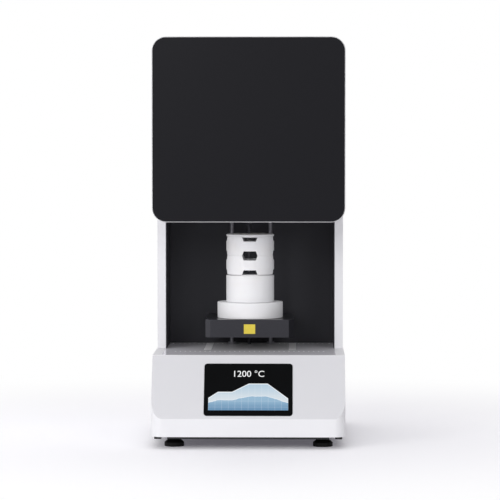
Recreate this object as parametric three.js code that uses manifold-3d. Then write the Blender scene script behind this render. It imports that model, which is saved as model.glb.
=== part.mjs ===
// Dental sintering furnace that loads from below.
// A heating head stands on two columns over an open bay, and a screw-driven lift in the bay
// carries the firing stack up into it.
// Millimetres, +Z up, front towards -Y, origin on the floor under the firing axis.
import * as THREE from "three";
import { mergeVertices } from "three/addons/utils/BufferGeometryUtils.js";
import Module from "manifold-3d";

const wasm = await Module();
wasm.setup();

// Gaps between pieces: flat faces that rest on each other, pieces that fit in one another,
// and how far a cutting shape runs past what it cuts.
const seatGap = 0.2;
const fitGap = 0.3;
const overrun = 1;

// Cabinet
const cabinetWidth = 360;
const cabinetDepth = 444;
const coverProud = 2;
const coverThickness = 2.5;

// Levelling feet
const footRadius = 18;
const footPadHeight = 7;
const footBevel = 1.5;
const footNeckRadius = 11;
const footNeckRise = 3;
const footInsetX = 41.5;
const footInsetY = 51;
const studRadius = 4;
const studLength = 24;

// Base tray
const trayBottom = 17;
const trayThickness = 2;
const trayFlangeThickness = 2.5;
const trayInsetX = 30;
const trayInsetY = 12;
const trayBossRadius = 9;
const trayBossHeight = 8;
const skidWidth = 13;
const skidHeight = 3.5;
const skidLength = 48;
const skidInset = 6;

// Base cover with its sloped console
const baseBottom = 22;
const baseWall = 3;
const baseTopWall = 6;
const consoleLipHeight = 33;
const consoleRun = 70;
const deckHeight = 168;
const baseCornerRadius = 22;

// Display in the console
const glassWidth = 164.4;
const glassHeight = 107.8;
const glassRadius = 6;
const glassLowerMargin = 7.2;
const glassRecess = 1.5;
const glassProud = 0.7;
const glassBorder = 5;
const displayUnitDepth = 14;

// Deck plate, its landing strips and the ledge that carries it
const deckThickness = 3;
const deckFrontRim = 3;
const deckLedge = 8;
const stripWidth = 14.3;
const stripThickness = 1;
const stripOffset = 81.6;
const stripLength = 171.7;
const stripRearInset = 4;

// Columns and bay
const columnInset = 1;
const columnWidth = 16;
const columnWall = 2;
const bayDepth = 140;
const bayRearGap = 16;
const linerThickness = 1.3;
const linerSetback = 0.5;
const backWallThickness = 2;

// Lift platform
const liftRestGap = 26.5;
const liftHeight = 34;
const liftWidth = 168.6;
const liftFrontReach = 68;
const liftRearReach = 122;
const liftChamfer = 9.5;
const liftWall = 3;
const liftPlateThickness = 3;
const liftHeadGap = 5.5;

// Guide rods, bushings and lead screw
const rodRadius = 4;
const rodOffset = 38.2;
const rodRearInset = 10;
const rodFootRadius = 8;
const rodFootHeight = 4;
const rodBarHeight = 14.8;
const rodBarReach = 14;
const rodBarOverhang = 20;
const rodBridgeHeight = 12;
const rodBridgeReach = 11;
const bushingRadius = 7.5;
const bushingProud = 0.5;
const bossWall = 2;
const screwRadius = 4;
const screwOffset = 4;
const nutRadius = 7;
const nutFlangeRadius = 10;
const nutFlangeHeight = 3;

// Lift motor, its bracket and the coupling
const motorWidth = 56.4;
const motorFloorGap = 20.8;
const motorCornerCut = 5;
const motorRearCap = 18;
const bracketThickness = 3;
const bracketWidth = 68;
const bracketHeight = 53.6;
const bracketHoleRadius = 12;
const couplingRadius = 9.5;
const couplingHeight = 32;
const couplingBottomGap = 5;
const couplingShaftShare = 0.48;

// Firing stack
const plugRadius = 63;
const plugHeight = 30.5;
const plugBevel = 1.5;
const trayRadius = 46;
const trayWall = 5;
const trayHeight = 36.3;
const trayFloorRise = 9;
const trayFloorThickness = 3;
const notchDepth = 7.9;
const notchRimWidth = 27.4;
const notchFloorWidth = 22.9;
const pedestalHeight = 53.5;
const spigotHeight = 1.5;
const spigotInset = 2.5;
const lidThickness = 3;
const lidBossHeight = 1.5;
const lidEdgeRound = 1;

// Heating head
const headGap = 28.9;
const headHeight = 345;
const headCornerRadius = 26.5;
const headWall = 2.5;
const headFrontReach = 168;
const panelInset = 1.5;
const panelThickness = 3.8;
const panelBevel = 1.5;
const panelRimDepth = 6;
const panelRimWidth = 4;

// Heating chamber
const plugClearance = 3;
const neckWall = 29;
const neckRoom = 7;
const muffleWall = 66;
const elementClearance = 14;
const elementWallGap = 12;
const liftedLidRoom = 49;
const terminalRoom = 71.7;
const jacketThickness = 1.5;
const framePlateThickness = 3;
const framePlateMargin = 6;
const frameLegWidth = 12;

// Heating elements, holder and thermocouple
const elementCount = 4;
const elementRadius = 3;
const elementTerminalRadius = 5;
const elementLegSpacing = 30;
const elementFloorGap = 16;
const elementRise = 22;
const holderThickness = 12;
const holderWidth = 26;
const probeRadius = 3.5;
const probeTipGap = 8;
const probeHeadRadius = 12;
const probeHeadLength = 24;
const probeHeightShare = 0.62;

// Rear covers, vents and cable openings
const ventWidth = 64;
const ventHeight = 5;
const ventPitch = 12;
const ventCount = 8;
const ventOffset = 70;
const lowerVentHeight = 250;
const upperVentDrop = 60;
const cableOpeningWidth = 120;
const cableOpeningFrontGap = 8;
const cableOpeningRearGap = 23.3;

// Cooling fan
const fanWidth = 80;
const fanDepth = 24;
const fanBoreRadius = 38;
const fanInset = 90;
const fanDrop = 120;
const fanHubRadius = 15;
const fanPinRadius = 2;
const fanStrutWidth = 5;
const fanBackThickness = 2;
const fanRotorGap = 1;
const fanRotorDepth = 14;
const fanBladeCount = 7;
const fanBladeTipGap = 1.5;
const fanBladeThickness = 1.6;
const fanBladeChord = 14;
const fanBladePitchDegrees = 38;
const guardWireWidth = 2;
const guardRingPitch = 12;

// Mains inlet and its switch
const inletWidth = 48;
const inletHeight = 60;
const inletDepth = 26;
const inletFlange = 4;
const inletInset = 62;
const inletAboveBase = 53;
const socketWidth = 24.5;
const socketHeight = 17;
const socketDepth = 15;
const socketDrop = 14;
const contactWidth = 2;
const contactHeight = 4;
const contactLength = 12;
const contactSpacing = 7;
const contactRise = 2;
const rockerWidth = 20;
const rockerHeight = 14;
const rockerApertureDepth = 12;
const rockerRise = 15;
const rockerPinRadius = 1.2;
const rockerPinDepth = 5.5;
const rockerEndProud = 4;
const rockerMidProud = 2.6;
const rockerTiltDegrees = 11;
const rockerClearance = 0.9;

// Parts inside the base, each placed at a share of the way it could move in the tray
const transformerWidth = 84;
const transformerDepth = 66;
const transformerHeight = 70;
const transformerCoilReach = 9;
const transformerCoilShare = 0.62;
const transformerPlaceShares = [-0.9, -0.43];
const relayWidth = 60;
const relayDepth = 80;
const relayBaseHeight = 6;
const relayFinHeight = 32;
const relayFinThickness = 2.5;
const relayFinCount = 8;
const relayPlaceShares = [0.95, 0.36];
const boardWidth = 120;
const boardDepth = 84;
const boardThickness = 1.6;
const boardLegRadius = 3;
const boardLegHeight = 10;
const boardLegInset = 6;
const boardPlaceShares = [0.7, -0.58];
const chipHeight = 9;
const boardChipShares = [
  [-0.28, 0.1, 0.26, 0.34],
  [0.08, -0.18, 0.2, 0.24],
  [0.3, 0.2, 0.16, 0.3],
];

// Steps round a full turn, for large, middle and small rounds, and along one rounded corner
const largeSteps = 36;
const middleSteps = 18;
const smallSteps = 8;
const cornerSteps = 5;

// Places worked out from the sizes above
const halfWidth = cabinetWidth / 2;
const frontY = -cabinetDepth / 2;
const coverBackY = cabinetDepth / 2 - coverProud;
const coverFrontY = coverBackY - coverThickness;
const shellRearY = coverFrontY - seatGap;
const kneeZ = baseBottom + consoleLipHeight;
const slantTopY = frontY + consoleRun;
const slantRise = deckHeight - kneeZ;
const slantLength = Math.hypot(consoleRun, slantRise);
const backWallY = liftRearReach + bayRearGap;
const columnFrontY = backWallY - bayDepth;
const columnOuterX = halfWidth - columnInset;
const bayHalfWidth = columnOuterX - columnWidth;
const deckFrontY = slantTopY + deckFrontRim;
const deckBottom = deckHeight - deckThickness;
const liftBottom = deckHeight + liftRestGap;
const liftTop = liftBottom + liftHeight;
const rodY = liftRearReach - rodRearInset;
const screwX = -screwOffset;
const plugTop = liftTop + plugHeight;
const pedestalTop = plugTop + pedestalHeight;
const stackTop = pedestalTop + trayHeight + trayHeight + lidThickness;
const headBottom = stackTop + headGap;
const headTop = headBottom + headHeight;
const headMiddle = (headBottom + headTop) / 2;
const headFloor = headBottom + headWall;
const liftTravel = headBottom - liftTop - liftHeadGap;
const neckRadius = plugRadius + plugClearance;
const neckTop = plugTop + liftTravel + neckRoom;
const elementCircle = trayRadius + elementClearance;
const chamberRadius = elementCircle + elementWallGap;
const muffleRadius = chamberRadius + muffleWall;
const muffleBottom = neckTop + fitGap;
const chamberCeiling = stackTop + liftTravel + liftedLidRoom;
const roofBottom = chamberCeiling + seatGap;
const roofTop = headTop - terminalRoom;
const jacketRadius = muffleRadius + fitGap + jacketThickness;
const cableFrontY = backWallY + backWallThickness + cableOpeningFrontGap;
const cableRearY = shellRearY - cableOpeningRearGap;
const trayFloorTop = trayBottom + trayThickness;
const innerPartsBottom = trayFloorTop + seatGap;
const rodBarTop = deckBottom - seatGap;
const rodBarBottom = rodBarTop - rodBarHeight;
const rodBridgeBottom = headFloor + seatGap;
const rodBridgeTop = rodBridgeBottom + rodBridgeHeight;
const bracketTop = rodBarBottom - seatGap;
const bracketBottom = bracketTop - bracketHeight;
const motorTop = bracketBottom - seatGap;
const motorBottom = innerPartsBottom + motorFloorGap;
const couplingBottom = bracketBottom + bracketThickness + couplingBottomGap;
const couplingSplit = couplingBottom + couplingHeight * couplingShaftShare;

// Turn a closed geometry into a solid that can be cut and joined, and leave a solid as it is
function toSolid(shape) {
  if (shape instanceof wasm.Manifold) return shape;
  const bare = shape.clone();
  bare.deleteAttribute("normal");
  bare.deleteAttribute("uv");
  const merged = mergeVertices(bare);
  return new wasm.Manifold(
    new wasm.Mesh({
      numProp: 3,
      vertProperties: merged.attributes.position.array,
      triVerts: new Uint32Array(merged.index.array),
    }),
  );
}

// Turn a solid back into a flat-shaded geometry
function toGeometry(solid) {
  const mesh = solid.getMesh();
  const indexed = new THREE.BufferGeometry();
  indexed.setAttribute("position", new THREE.BufferAttribute(mesh.vertProperties, 3));
  indexed.setIndex(new THREE.BufferAttribute(mesh.triVerts, 1));
  const geometry = indexed.toNonIndexed();
  geometry.computeVertexNormals();
  return geometry;
}

// One solid from a first shape, with others joined to it and then others cut away
function carve(first, { join = [], cut = [] }) {
  let solid = toSolid(first);
  for (const shape of join) solid = solid.add(toSolid(shape));
  for (const shape of cut) solid = solid.subtract(toSolid(shape));
  return solid;
}

// What two shapes have in common
function common(first, second) {
  return toSolid(first).intersect(toSolid(second));
}

// A rectangular block between its lowest and highest corners
function block(x0, x1, y0, y1, z0, z1) {
  const geometry = new THREE.BoxGeometry(x1 - x0, y1 - y0, z1 - z0);
  return geometry.translate((x0 + x1) / 2, (y0 + y1) / 2, (z0 + z1) / 2);
}

// A round bar along Z
function barZ(radius, z0, z1, x = 0, y = 0, steps = middleSteps) {
  const geometry = new THREE.CylinderGeometry(radius, radius, z1 - z0, steps);
  return geometry.rotateX(Math.PI / 2).translate(x, y, (z0 + z1) / 2);
}

// A round bar along Y
function barY(radius, y0, y1, x = 0, z = 0, steps = middleSteps) {
  const geometry = new THREE.CylinderGeometry(radius, radius, y1 - y0, steps);
  return geometry.translate(x, (y0 + y1) / 2, z);
}

// A round bar along X
function barX(radius, x0, x1, y = 0, z = 0, steps = smallSteps) {
  const geometry = new THREE.CylinderGeometry(radius, radius, x1 - x0, steps);
  return geometry.rotateZ(-Math.PI / 2).translate((x0 + x1) / 2, y, z);
}

// A turned piece about Z from a profile of [radius, height] points
function turned(profile, steps = largeSteps) {
  const points = profile.map(([radius, height]) => new THREE.Vector2(radius, height));
  return new THREE.LatheGeometry(points, steps).rotateX(Math.PI / 2);
}

// A ring about Z with a square section
function ringZ(inner, outer, z0, z1, steps = largeSteps) {
  return turned([[inner, z0], [outer, z0], [outer, z1], [inner, z1], [inner, z0]], steps);
}

// An outline through [x, y] points
function outline(points) {
  return new THREE.Shape(points.map(([x, y]) => new THREE.Vector2(x, y)));
}

// A rectangle with round corners, centred on a point
function roundedRectangle(width, height, radius, centreY = 0) {
  const x = width / 2 - radius;
  const y = height / 2 - radius;
  const shape = new THREE.Shape();
  shape.absarc(x, centreY - y, radius, -Math.PI / 2, 0);
  shape.absarc(x, centreY + y, radius, 0, Math.PI / 2);
  shape.absarc(-x, centreY + y, radius, Math.PI / 2, Math.PI);
  shape.absarc(-x, centreY - y, radius, Math.PI, Math.PI * 1.5);
  return shape;
}

// The cabinet's plan: square at the rear, round at the two front corners
function cabinetPlan(half, front, rear, radius) {
  const shape = new THREE.Shape();
  shape.moveTo(-half, rear);
  shape.lineTo(-half, front + radius);
  shape.absarc(-half + radius, front + radius, radius, Math.PI, Math.PI * 1.5);
  shape.absarc(half - radius, front + radius, radius, Math.PI * 1.5, Math.PI * 2);
  shape.lineTo(half, rear);
  return shape;
}

// A rectangle with its four corners cut off
function chamferedPlan(half, front, rear, chamfer) {
  return outline([
    [-half + chamfer, front],
    [half - chamfer, front],
    [half, front + chamfer],
    [half, rear - chamfer],
    [half - chamfer, rear],
    [-half + chamfer, rear],
    [-half, rear - chamfer],
    [-half, front + chamfer],
  ]);
}

// An outline drawn in X and Y, standing from z0 to z1
function prismZ(shape, z0, z1) {
  const settings = { depth: z1 - z0, bevelEnabled: false, curveSegments: cornerSteps };
  return new THREE.ExtrudeGeometry(shape, settings).translate(0, 0, z0);
}

// An outline drawn in X and Z, running from y0 to y1
function prismY(shape, y0, y1) {
  return prismZ(shape, 0, y1 - y0).rotateX(Math.PI / 2).translate(0, y1, 0);
}

// An outline drawn in Y and Z, running from x0 to x1
function prismX(shape, x0, x1) {
  const basis = new THREE.Matrix4().makeBasis(
    new THREE.Vector3(0, 1, 0),
    new THREE.Vector3(0, 0, 1),
    new THREE.Vector3(1, 0, 0),
  );
  return prismZ(shape, x0, x1).applyMatrix4(basis);
}

function finish(color, roughness, metalness = 0) {
  return new THREE.MeshStandardMaterial({ color, roughness, metalness });
}

const whiteEnamel = finish(0xe9e9ec, 0.42);
const blackPanel = finish(0x27272a, 0.3);
const blackEnamel = finish(0x1f2023, 0.45);
const darkCasing = finish(0x3c3c42, 0.4, 0.3);
const deckGrey = finish(0x9a9ba2, 0.15, 0.2);
const stripGrey = finish(0xb4b5bb, 0.3);
const blackRubber = finish(0x141416, 0.7);
const blackPlastic = finish(0x18181a, 0.5);
const displayGlassFinish = finish(0x0e0f11, 0.08);
const ceramic = finish(0xe8e8ea, 0.75);
const insulationBoard = finish(0xefece4, 0.95);
const polishedSteel = finish(0xc8cacd, 0.18, 1);
const plainSteel = finish(0x9ea1a5, 0.4, 0.9);
const brass = finish(0xb08d4a, 0.35, 0.9);
const aluminium = finish(0xaeb1b5, 0.4, 0.8);
const elementGrey = finish(0x56534f, 0.6, 0.3);
const boardGreen = finish(0x1f5a3a, 0.55);
const transformerGrey = finish(0x6f6a62, 0.5, 0.4);

const furnace = new THREE.Group();
const cabinet = new THREE.Group();
const consoleFace = new THREE.Group();
const drive = new THREE.Group();
const lift = new THREE.Group();
const stack = new THREE.Group();
const head = new THREE.Group();
const rear = new THREE.Group();
furnace.add(cabinet, drive, lift, head, rear);
cabinet.add(consoleFace);
lift.add(stack);

// Add one named piece to a group, at a place in that group
function add(group, name, shape, material, x = 0, y = 0, z = 0) {
  const geometry = shape instanceof wasm.Manifold ? toGeometry(shape) : shape;
  const mesh = new THREE.Mesh(geometry, material);
  mesh.name = name;
  mesh.position.set(x, y, z);
  group.add(mesh);
  return mesh;
}

const sides = [["left", -1], ["right", 1]];

// Levelling feet: round pad, tapered neck and a stud that screws into the tray
const footX = halfWidth - footInsetX;
const footY = cabinetDepth / 2 - footInsetY;
const studHoleRadius = studRadius + fitGap;
const footNeckTop = trayBottom - fitGap;
const footProfile = [
  [0, 0],
  [footRadius, 0],
  [footRadius, footPadHeight],
  [footRadius - footBevel, footPadHeight + footBevel],
  [footNeckRadius, footPadHeight + footBevel + footNeckRise],
  [footNeckRadius, footNeckTop],
  [studRadius, footNeckTop],
  [studRadius, footNeckTop + studLength],
  [0, footNeckTop + studLength],
];
for (const [end, y] of [["front", -footY], ["rear", footY]]) {
  for (const [side, sign] of sides) {
    add(cabinet, `foot_${end}_${side}`, turned(footProfile, middleSteps), blackRubber, sign * footX, y);
  }
}

// Base tray: a flange inside the cover, a pan below it, a threaded boss for each foot, two skids
function baseTray() {
  const flange = prismZ(
    cabinetPlan(
      halfWidth - baseWall - fitGap,
      frontY + baseWall + fitGap,
      shellRearY,
      baseCornerRadius - baseWall - fitGap,
    ),
    baseBottom,
    baseBottom + trayFlangeThickness,
  );
  const panX = halfWidth - trayInsetX;
  const panY = cabinetDepth / 2 - trayInsetY;
  const pan = block(-panX, panX, -panY, panY, trayBottom, baseBottom + trayFlangeThickness);
  const hollow = block(
    -panX + trayThickness,
    panX - trayThickness,
    -panY + trayThickness,
    panY - trayThickness,
    trayFloorTop,
    baseBottom + trayFlangeThickness + overrun,
  );
  const pieces = [pan];
  for (const [, sign] of sides) {
    const outerX = sign * (halfWidth - skidInset);
    const innerX = outerX - sign * skidWidth;
    const left = Math.min(innerX, outerX);
    const right = Math.max(innerX, outerX);
    pieces.push(
      block(
        left,
        right,
        -panY,
        -panY + skidLength,
        baseBottom - skidHeight,
        baseBottom + trayThickness,
      ),
    );
  }
  const tray = carve(flange, { join: pieces, cut: [hollow] });
  const bosses = [];
  const holes = [];
  for (const y of [-footY, footY]) {
    for (const [, sign] of sides) {
      const x = sign * footX;
      const bossTop = trayFloorTop + trayBossHeight;
      bosses.push(barZ(trayBossRadius, trayBottom, bossTop, x, y, smallSteps));
      holes.push(barZ(studHoleRadius, trayBottom - overrun, bossTop + overrun, x, y));
    }
  }
  return carve(tray, { join: bosses, cut: holes });
}
add(cabinet, "base_tray", baseTray(), blackEnamel);

// The console's sloped face: X across, Y up the slope, Z out of the face
consoleFace.position.set(0, frontY, kneeZ);
consoleFace.rotation.x = Math.atan2(slantRise, consoleRun);
consoleFace.updateMatrix();

const glassCentre = glassLowerMargin + glassHeight / 2;
const windowWidth = glassWidth - 2 * glassBorder;
const windowHeight = glassHeight - 2 * glassBorder;

function consoleRectangle(width, height, radius, z0, z1) {
  return prismZ(roundedRectangle(width, height, radius, glassCentre), z0, z1);
}

// Side outline of the base, drawn in Y and Z, moved in by a wall
function baseProfile(wall, topWall, past) {
  const alongY = consoleRun / slantLength;
  const alongZ = slantRise / slantLength;
  const startY = frontY + alongZ * wall;
  const startZ = kneeZ - alongY * wall;
  const front = frontY + wall;
  const top = deckHeight - topWall;
  const knee = startZ + ((front - startY) / alongY) * alongZ;
  const topY = startY + ((top - startZ) / alongZ) * alongY;
  const bottom = baseBottom - past;
  return outline([
    [front, bottom],
    [front, knee],
    [topY, top],
    [shellRearY + past, top],
    [shellRearY + past, bottom],
  ]);
}

// Base cover: front, sides and a top with the deck's opening, open below and behind
function baseCover() {
  const across = halfWidth + overrun;
  const outer = common(
    prismZ(cabinetPlan(halfWidth, frontY, shellRearY, baseCornerRadius), baseBottom, deckHeight),
    prismX(baseProfile(0, 0, 0), -across, across),
  );
  const inner = common(
    prismZ(
      cabinetPlan(
        halfWidth - baseWall,
        frontY + baseWall,
        shellRearY + overrun,
        baseCornerRadius - baseWall,
      ),
      baseBottom - overrun,
      deckHeight,
    ),
    prismX(baseProfile(baseWall, baseTopWall, overrun), -across, across),
  );
  const above = deckHeight + overrun;
  const below = deckHeight - baseTopWall - overrun;
  const recess = consoleRectangle(
    glassWidth + 2 * fitGap,
    glassHeight + 2 * fitGap,
    glassRadius + fitGap,
    -glassRecess,
    overrun,
  );
  const window = consoleRectangle(
    windowWidth,
    windowHeight,
    glassRadius - fitGap,
    -2 * baseWall,
    overrun,
  );
  return carve(outer, {
    cut: [
      inner,
      block(-bayHalfWidth, bayHalfWidth, deckFrontY, backWallY, deckBottom - seatGap, above),
      block(
        -bayHalfWidth + deckLedge,
        bayHalfWidth - deckLedge,
        deckFrontY + deckLedge,
        backWallY - deckLedge,
        below,
        above,
      ),
      block(
        -cableOpeningWidth / 2,
        cableOpeningWidth / 2,
        cableFrontY,
        cableRearY,
        below,
        above,
      ),
      recess.applyMatrix4(consoleFace.matrix),
      window.applyMatrix4(consoleFace.matrix),
    ],
  });
}
add(cabinet, "base_cover", baseCover(), whiteEnamel);

add(
  consoleFace,
  "display_glass",
  consoleRectangle(glassWidth, glassHeight, glassRadius, fitGap - glassRecess, glassProud),
  displayGlassFinish,
);
add(
  consoleFace,
  "display_unit",
  consoleRectangle(
    windowWidth - 2 * fitGap,
    windowHeight - 2 * fitGap,
    glassRadius - 2 * fitGap,
    -glassRecess - displayUnitDepth,
    -glassRecess,
  ),
  blackPlastic,
);

// Deck plate with pockets for the strips and holes for the rods and the screw
const stripBackY = backWallY - fitGap - stripRearInset;
const stripFrontY = stripBackY - stripLength;

function deckPlate() {
  const pocketBottom = deckHeight - stripThickness - seatGap;
  const cut = [barZ(screwRadius + fitGap, deckBottom - overrun, deckHeight + overrun, screwX, rodY)];
  for (const [, sign] of sides) {
    const half = stripWidth / 2 + fitGap;
    const x = sign * stripOffset;
    cut.push(barZ(rodRadius + fitGap, deckBottom - overrun, deckHeight + overrun, sign * rodOffset, rodY));
    cut.push(
      block(
        x - half,
        x + half,
        stripFrontY - fitGap,
        stripBackY + fitGap,
        pocketBottom,
        deckHeight + overrun,
      ),
    );
  }
  const plate = block(
    -bayHalfWidth + fitGap,
    bayHalfWidth - fitGap,
    deckFrontY + fitGap,
    backWallY - fitGap,
    deckBottom,
    deckHeight,
  );
  return carve(plate, { cut });
}
add(cabinet, "deck_plate", deckPlate(), deckGrey);

for (const [side, sign] of sides) {
  const x = sign * stripOffset;
  const half = stripWidth / 2;
  add(
    cabinet,
    `landing_strip_${side}`,
    block(x - half, x + half, stripFrontY, stripBackY, deckHeight - stripThickness, deckHeight),
    stripGrey,
  );
}

// What stands under the head is cut to the head's outline, with its round lower corners
const columnBottom = deckHeight + seatGap;
const columnTop = headBottom + headCornerRadius;
function underHead(shape) {
  const above = prismY(
    roundedRectangle(
      cabinetWidth + 2 * seatGap,
      headHeight + 2 * seatGap,
      headCornerRadius + seatGap,
      headMiddle,
    ),
    frontY,
    cabinetDepth / 2,
  );
  return carve(shape, { cut: [above] });
}

// Columns: a folded sheet with a front face, an outer side to the rear, an inner side to the bay's end
for (const [side, sign] of sides) {
  const section = outline([
    [sign * bayHalfWidth, columnFrontY],
    [sign * columnOuterX, columnFrontY],
    [sign * columnOuterX, shellRearY],
    [sign * (columnOuterX - columnWall), shellRearY],
    [sign * (columnOuterX - columnWall), columnFrontY + columnWall],
    [sign * (bayHalfWidth + columnWall), columnFrontY + columnWall],
    [sign * (bayHalfWidth + columnWall), backWallY],
    [sign * bayHalfWidth, backWallY],
  ]);
  add(cabinet, `column_${side}`, underHead(prismZ(section, columnBottom, columnTop)), whiteEnamel);
  const outerX = bayHalfWidth - seatGap;
  const innerX = outerX - linerThickness;
  add(
    cabinet,
    `bay_liner_${side}`,
    underHead(
      block(
        Math.min(sign * innerX, sign * outerX),
        Math.max(sign * innerX, sign * outerX),
        columnFrontY + linerSetback,
        backWallY - fitGap,
        columnBottom,
        columnTop,
      ),
    ),
    blackEnamel,
  );
}
add(
  cabinet,
  "bay_back_wall",
  underHead(
    block(
      -columnOuterX + columnWall + fitGap,
      columnOuterX - columnWall - fitGap,
      backWallY + seatGap,
      backWallY + seatGap + backWallThickness,
      columnBottom,
      columnTop,
    ),
  ),
  blackEnamel,
);

// Guide rods, their foot collars, the bar under the deck and the bridge in the head
for (const [side, sign] of sides) {
  const x = sign * rodOffset;
  add(cabinet, `guide_rod_${side}`, barZ(rodRadius, rodBarBottom, rodBridgeTop, x, rodY), polishedSteel);
  add(
    cabinet,
    `rod_foot_${side}`,
    ringZ(rodRadius + fitGap, rodFootRadius, columnBottom, columnBottom + rodFootHeight, middleSteps),
    blackEnamel,
    x,
    rodY,
  );
}

function rodHolder(reachX, reachY, z0, z1) {
  const cut = [barZ(screwRadius + fitGap, z0 - overrun, z1 + overrun, screwX, rodY)];
  for (const [, sign] of sides) {
    cut.push(barZ(rodRadius + fitGap, z0 - overrun, z1 + overrun, sign * rodOffset, rodY));
  }
  return carve(block(-reachX, reachX, rodY - reachY, rodY + reachY, z0, z1), { cut });
}
const rodHolderReach = rodOffset + rodBarOverhang;
add(cabinet, "rod_base_bar", rodHolder(rodHolderReach, rodBarReach, rodBarBottom, rodBarTop), aluminium);
add(
  head,
  "rod_bridge",
  rodHolder(rodHolderReach, rodBridgeReach, rodBridgeBottom, rodBridgeTop),
  aluminium,
);

// Lift motor on its bracket below the deck, with the shaft, coupling and screw above it
drive.position.set(screwX, rodY, 0);

function motorBody() {
  const half = motorWidth / 2;
  const body = prismZ(chamferedPlan(half, -half, half, motorCornerCut), motorBottom, motorTop);
  return carve(body, {
    cut: [barZ(screwRadius + fitGap, motorBottom + motorRearCap - fitGap, motorTop + overrun)],
  });
}
add(drive, "lift_motor", motorBody(), blackEnamel);

function motorBracket() {
  const half = bracketWidth / 2;
  const reach = motorWidth / 2;
  const section = outline([
    [-half, bracketBottom],
    [half, bracketBottom],
    [half, bracketTop],
    [half - bracketThickness, bracketTop],
    [half - bracketThickness, bracketBottom + bracketThickness],
    [-half + bracketThickness, bracketBottom + bracketThickness],
    [-half + bracketThickness, bracketTop],
    [-half, bracketTop],
  ]);
  return carve(prismY(section, -reach, reach), {
    cut: [barZ(bracketHoleRadius, bracketBottom - overrun, bracketBottom + bracketThickness + overrun)],
  });
}
add(drive, "motor_bracket", motorBracket(), plainSteel);
add(
  drive,
  "motor_shaft",
  barZ(screwRadius, motorBottom + motorRearCap, couplingSplit - seatGap),
  plainSteel,
);
add(
  drive,
  "shaft_coupling",
  ringZ(screwRadius + fitGap, couplingRadius, couplingBottom, couplingBottom + couplingHeight, middleSteps),
  aluminium,
);
add(drive, "lead_screw", barZ(screwRadius, couplingSplit, rodBridgeTop), polishedSteel);

// Lift casing: open below, with bosses for the bushings and the nut
const liftHalf = liftWidth / 2;
const liftBores = [
  [-rodOffset, bushingRadius + fitGap],
  [rodOffset, bushingRadius + fitGap],
  [screwX, nutRadius + fitGap],
];

function liftCasing() {
  const outer = prismZ(
    chamferedPlan(liftHalf, -liftFrontReach, liftRearReach, liftChamfer),
    liftBottom,
    liftTop,
  );
  const inner = prismZ(
    chamferedPlan(
      liftHalf - liftWall,
      -liftFrontReach + liftWall,
      liftRearReach - liftWall,
      liftChamfer,
    ),
    liftBottom - overrun,
    liftTop - liftWall,
  );
  const bossBottom = liftBottom + liftPlateThickness + seatGap;
  const bossTop = liftTop - liftWall / 2;
  const bossed = carve(carve(outer, { cut: [inner] }), {
    join: liftBores.map(([x, radius]) => barZ(radius + bossWall, bossBottom, bossTop, x, rodY)),
  });
  return carve(common(bossed, outer), {
    cut: liftBores.map(([x, radius]) => barZ(radius, liftBottom - overrun, liftTop + overrun, x, rodY)),
  });
}
add(lift, "lift_casing", liftCasing(), darkCasing);

function liftBottomPlate() {
  const plan = chamferedPlan(
    liftHalf - liftWall - fitGap,
    -liftFrontReach + liftWall + fitGap,
    liftRearReach - liftWall - fitGap,
    liftChamfer,
  );
  return carve(prismZ(plan, liftBottom, liftBottom + liftPlateThickness), {
    cut: liftBores.map(([x, radius]) => barZ(radius, liftBottom - overrun, liftTop, x, rodY)),
  });
}
add(lift, "lift_bottom_plate", liftBottomPlate(), darkCasing);

for (const [side, sign] of sides) {
  add(
    lift,
    `lift_bushing_${side}`,
    ringZ(
      rodRadius + fitGap,
      bushingRadius,
      liftBottom - bushingProud,
      liftTop + bushingProud,
      middleSteps,
    ),
    plainSteel,
    sign * rodOffset,
    rodY,
  );
}

// Lead nut: a threaded sleeve with a flange that sits on the casing
const nutBore = screwRadius + fitGap;
const nutProfile = [
  [nutBore, liftBottom],
  [nutRadius, liftBottom],
  [nutRadius, liftTop + seatGap],
  [nutFlangeRadius, liftTop + seatGap],
  [nutFlangeRadius, liftTop + seatGap + nutFlangeHeight],
  [nutBore, liftTop + seatGap + nutFlangeHeight],
  [nutBore, liftBottom],
];
add(lift, "lead_nut", turned(nutProfile, middleSteps), brass, screwX, rodY);

// Plug disc that closes the chamber, and the pedestal with its raised seat
add(
  stack,
  "plug_disc",
  turned([
    [0, liftTop + seatGap],
    [plugRadius - plugBevel, liftTop + seatGap],
    [plugRadius, liftTop + seatGap + plugBevel],
    [plugRadius, plugTop - plugBevel],
    [plugRadius - plugBevel, plugTop],
    [0, plugTop],
  ]),
  ceramic,
);
add(
  stack,
  "pedestal",
  turned([
    [0, plugTop + seatGap],
    [trayRadius, plugTop + seatGap],
    [trayRadius, pedestalTop - spigotHeight],
    [trayRadius - spigotInset, pedestalTop - spigotHeight],
    [trayRadius - spigotInset, pedestalTop],
    [0, pedestalTop],
  ]),
  ceramic,
);

// Crucible tray: a ring wall, a raised floor, and four vent notches in each rim
function crucibleTray() {
  const inner = trayRadius - trayWall;
  const bottom = seatGap;
  const body = turned([
    [0, trayFloorRise],
    [inner, trayFloorRise],
    [inner, bottom],
    [trayRadius, bottom],
    [trayRadius, trayHeight],
    [inner, trayHeight],
    [inner, trayFloorRise + trayFloorThickness],
    [0, trayFloorRise + trayFloorThickness],
  ]);
  const rim = notchRimWidth / 2;
  const floor = notchFloorWidth / 2;
  const slope = (rim - floor) / notchDepth;
  const reach = trayRadius + overrun;
  const lower = outline([
    [-rim - slope * overrun, -overrun],
    [rim + slope * overrun, -overrun],
    [floor, notchDepth],
    [-floor, notchDepth],
  ]);
  const upper = outline([
    [-floor, trayHeight - notchDepth],
    [floor, trayHeight - notchDepth],
    [rim + slope * overrun, trayHeight + overrun],
    [-rim - slope * overrun, trayHeight + overrun],
  ]);
  return carve(body, {
    cut: [lower, upper].flatMap((shape) => [prismY(shape, -reach, reach), prismX(shape, -reach, reach)]),
  });
}
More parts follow.
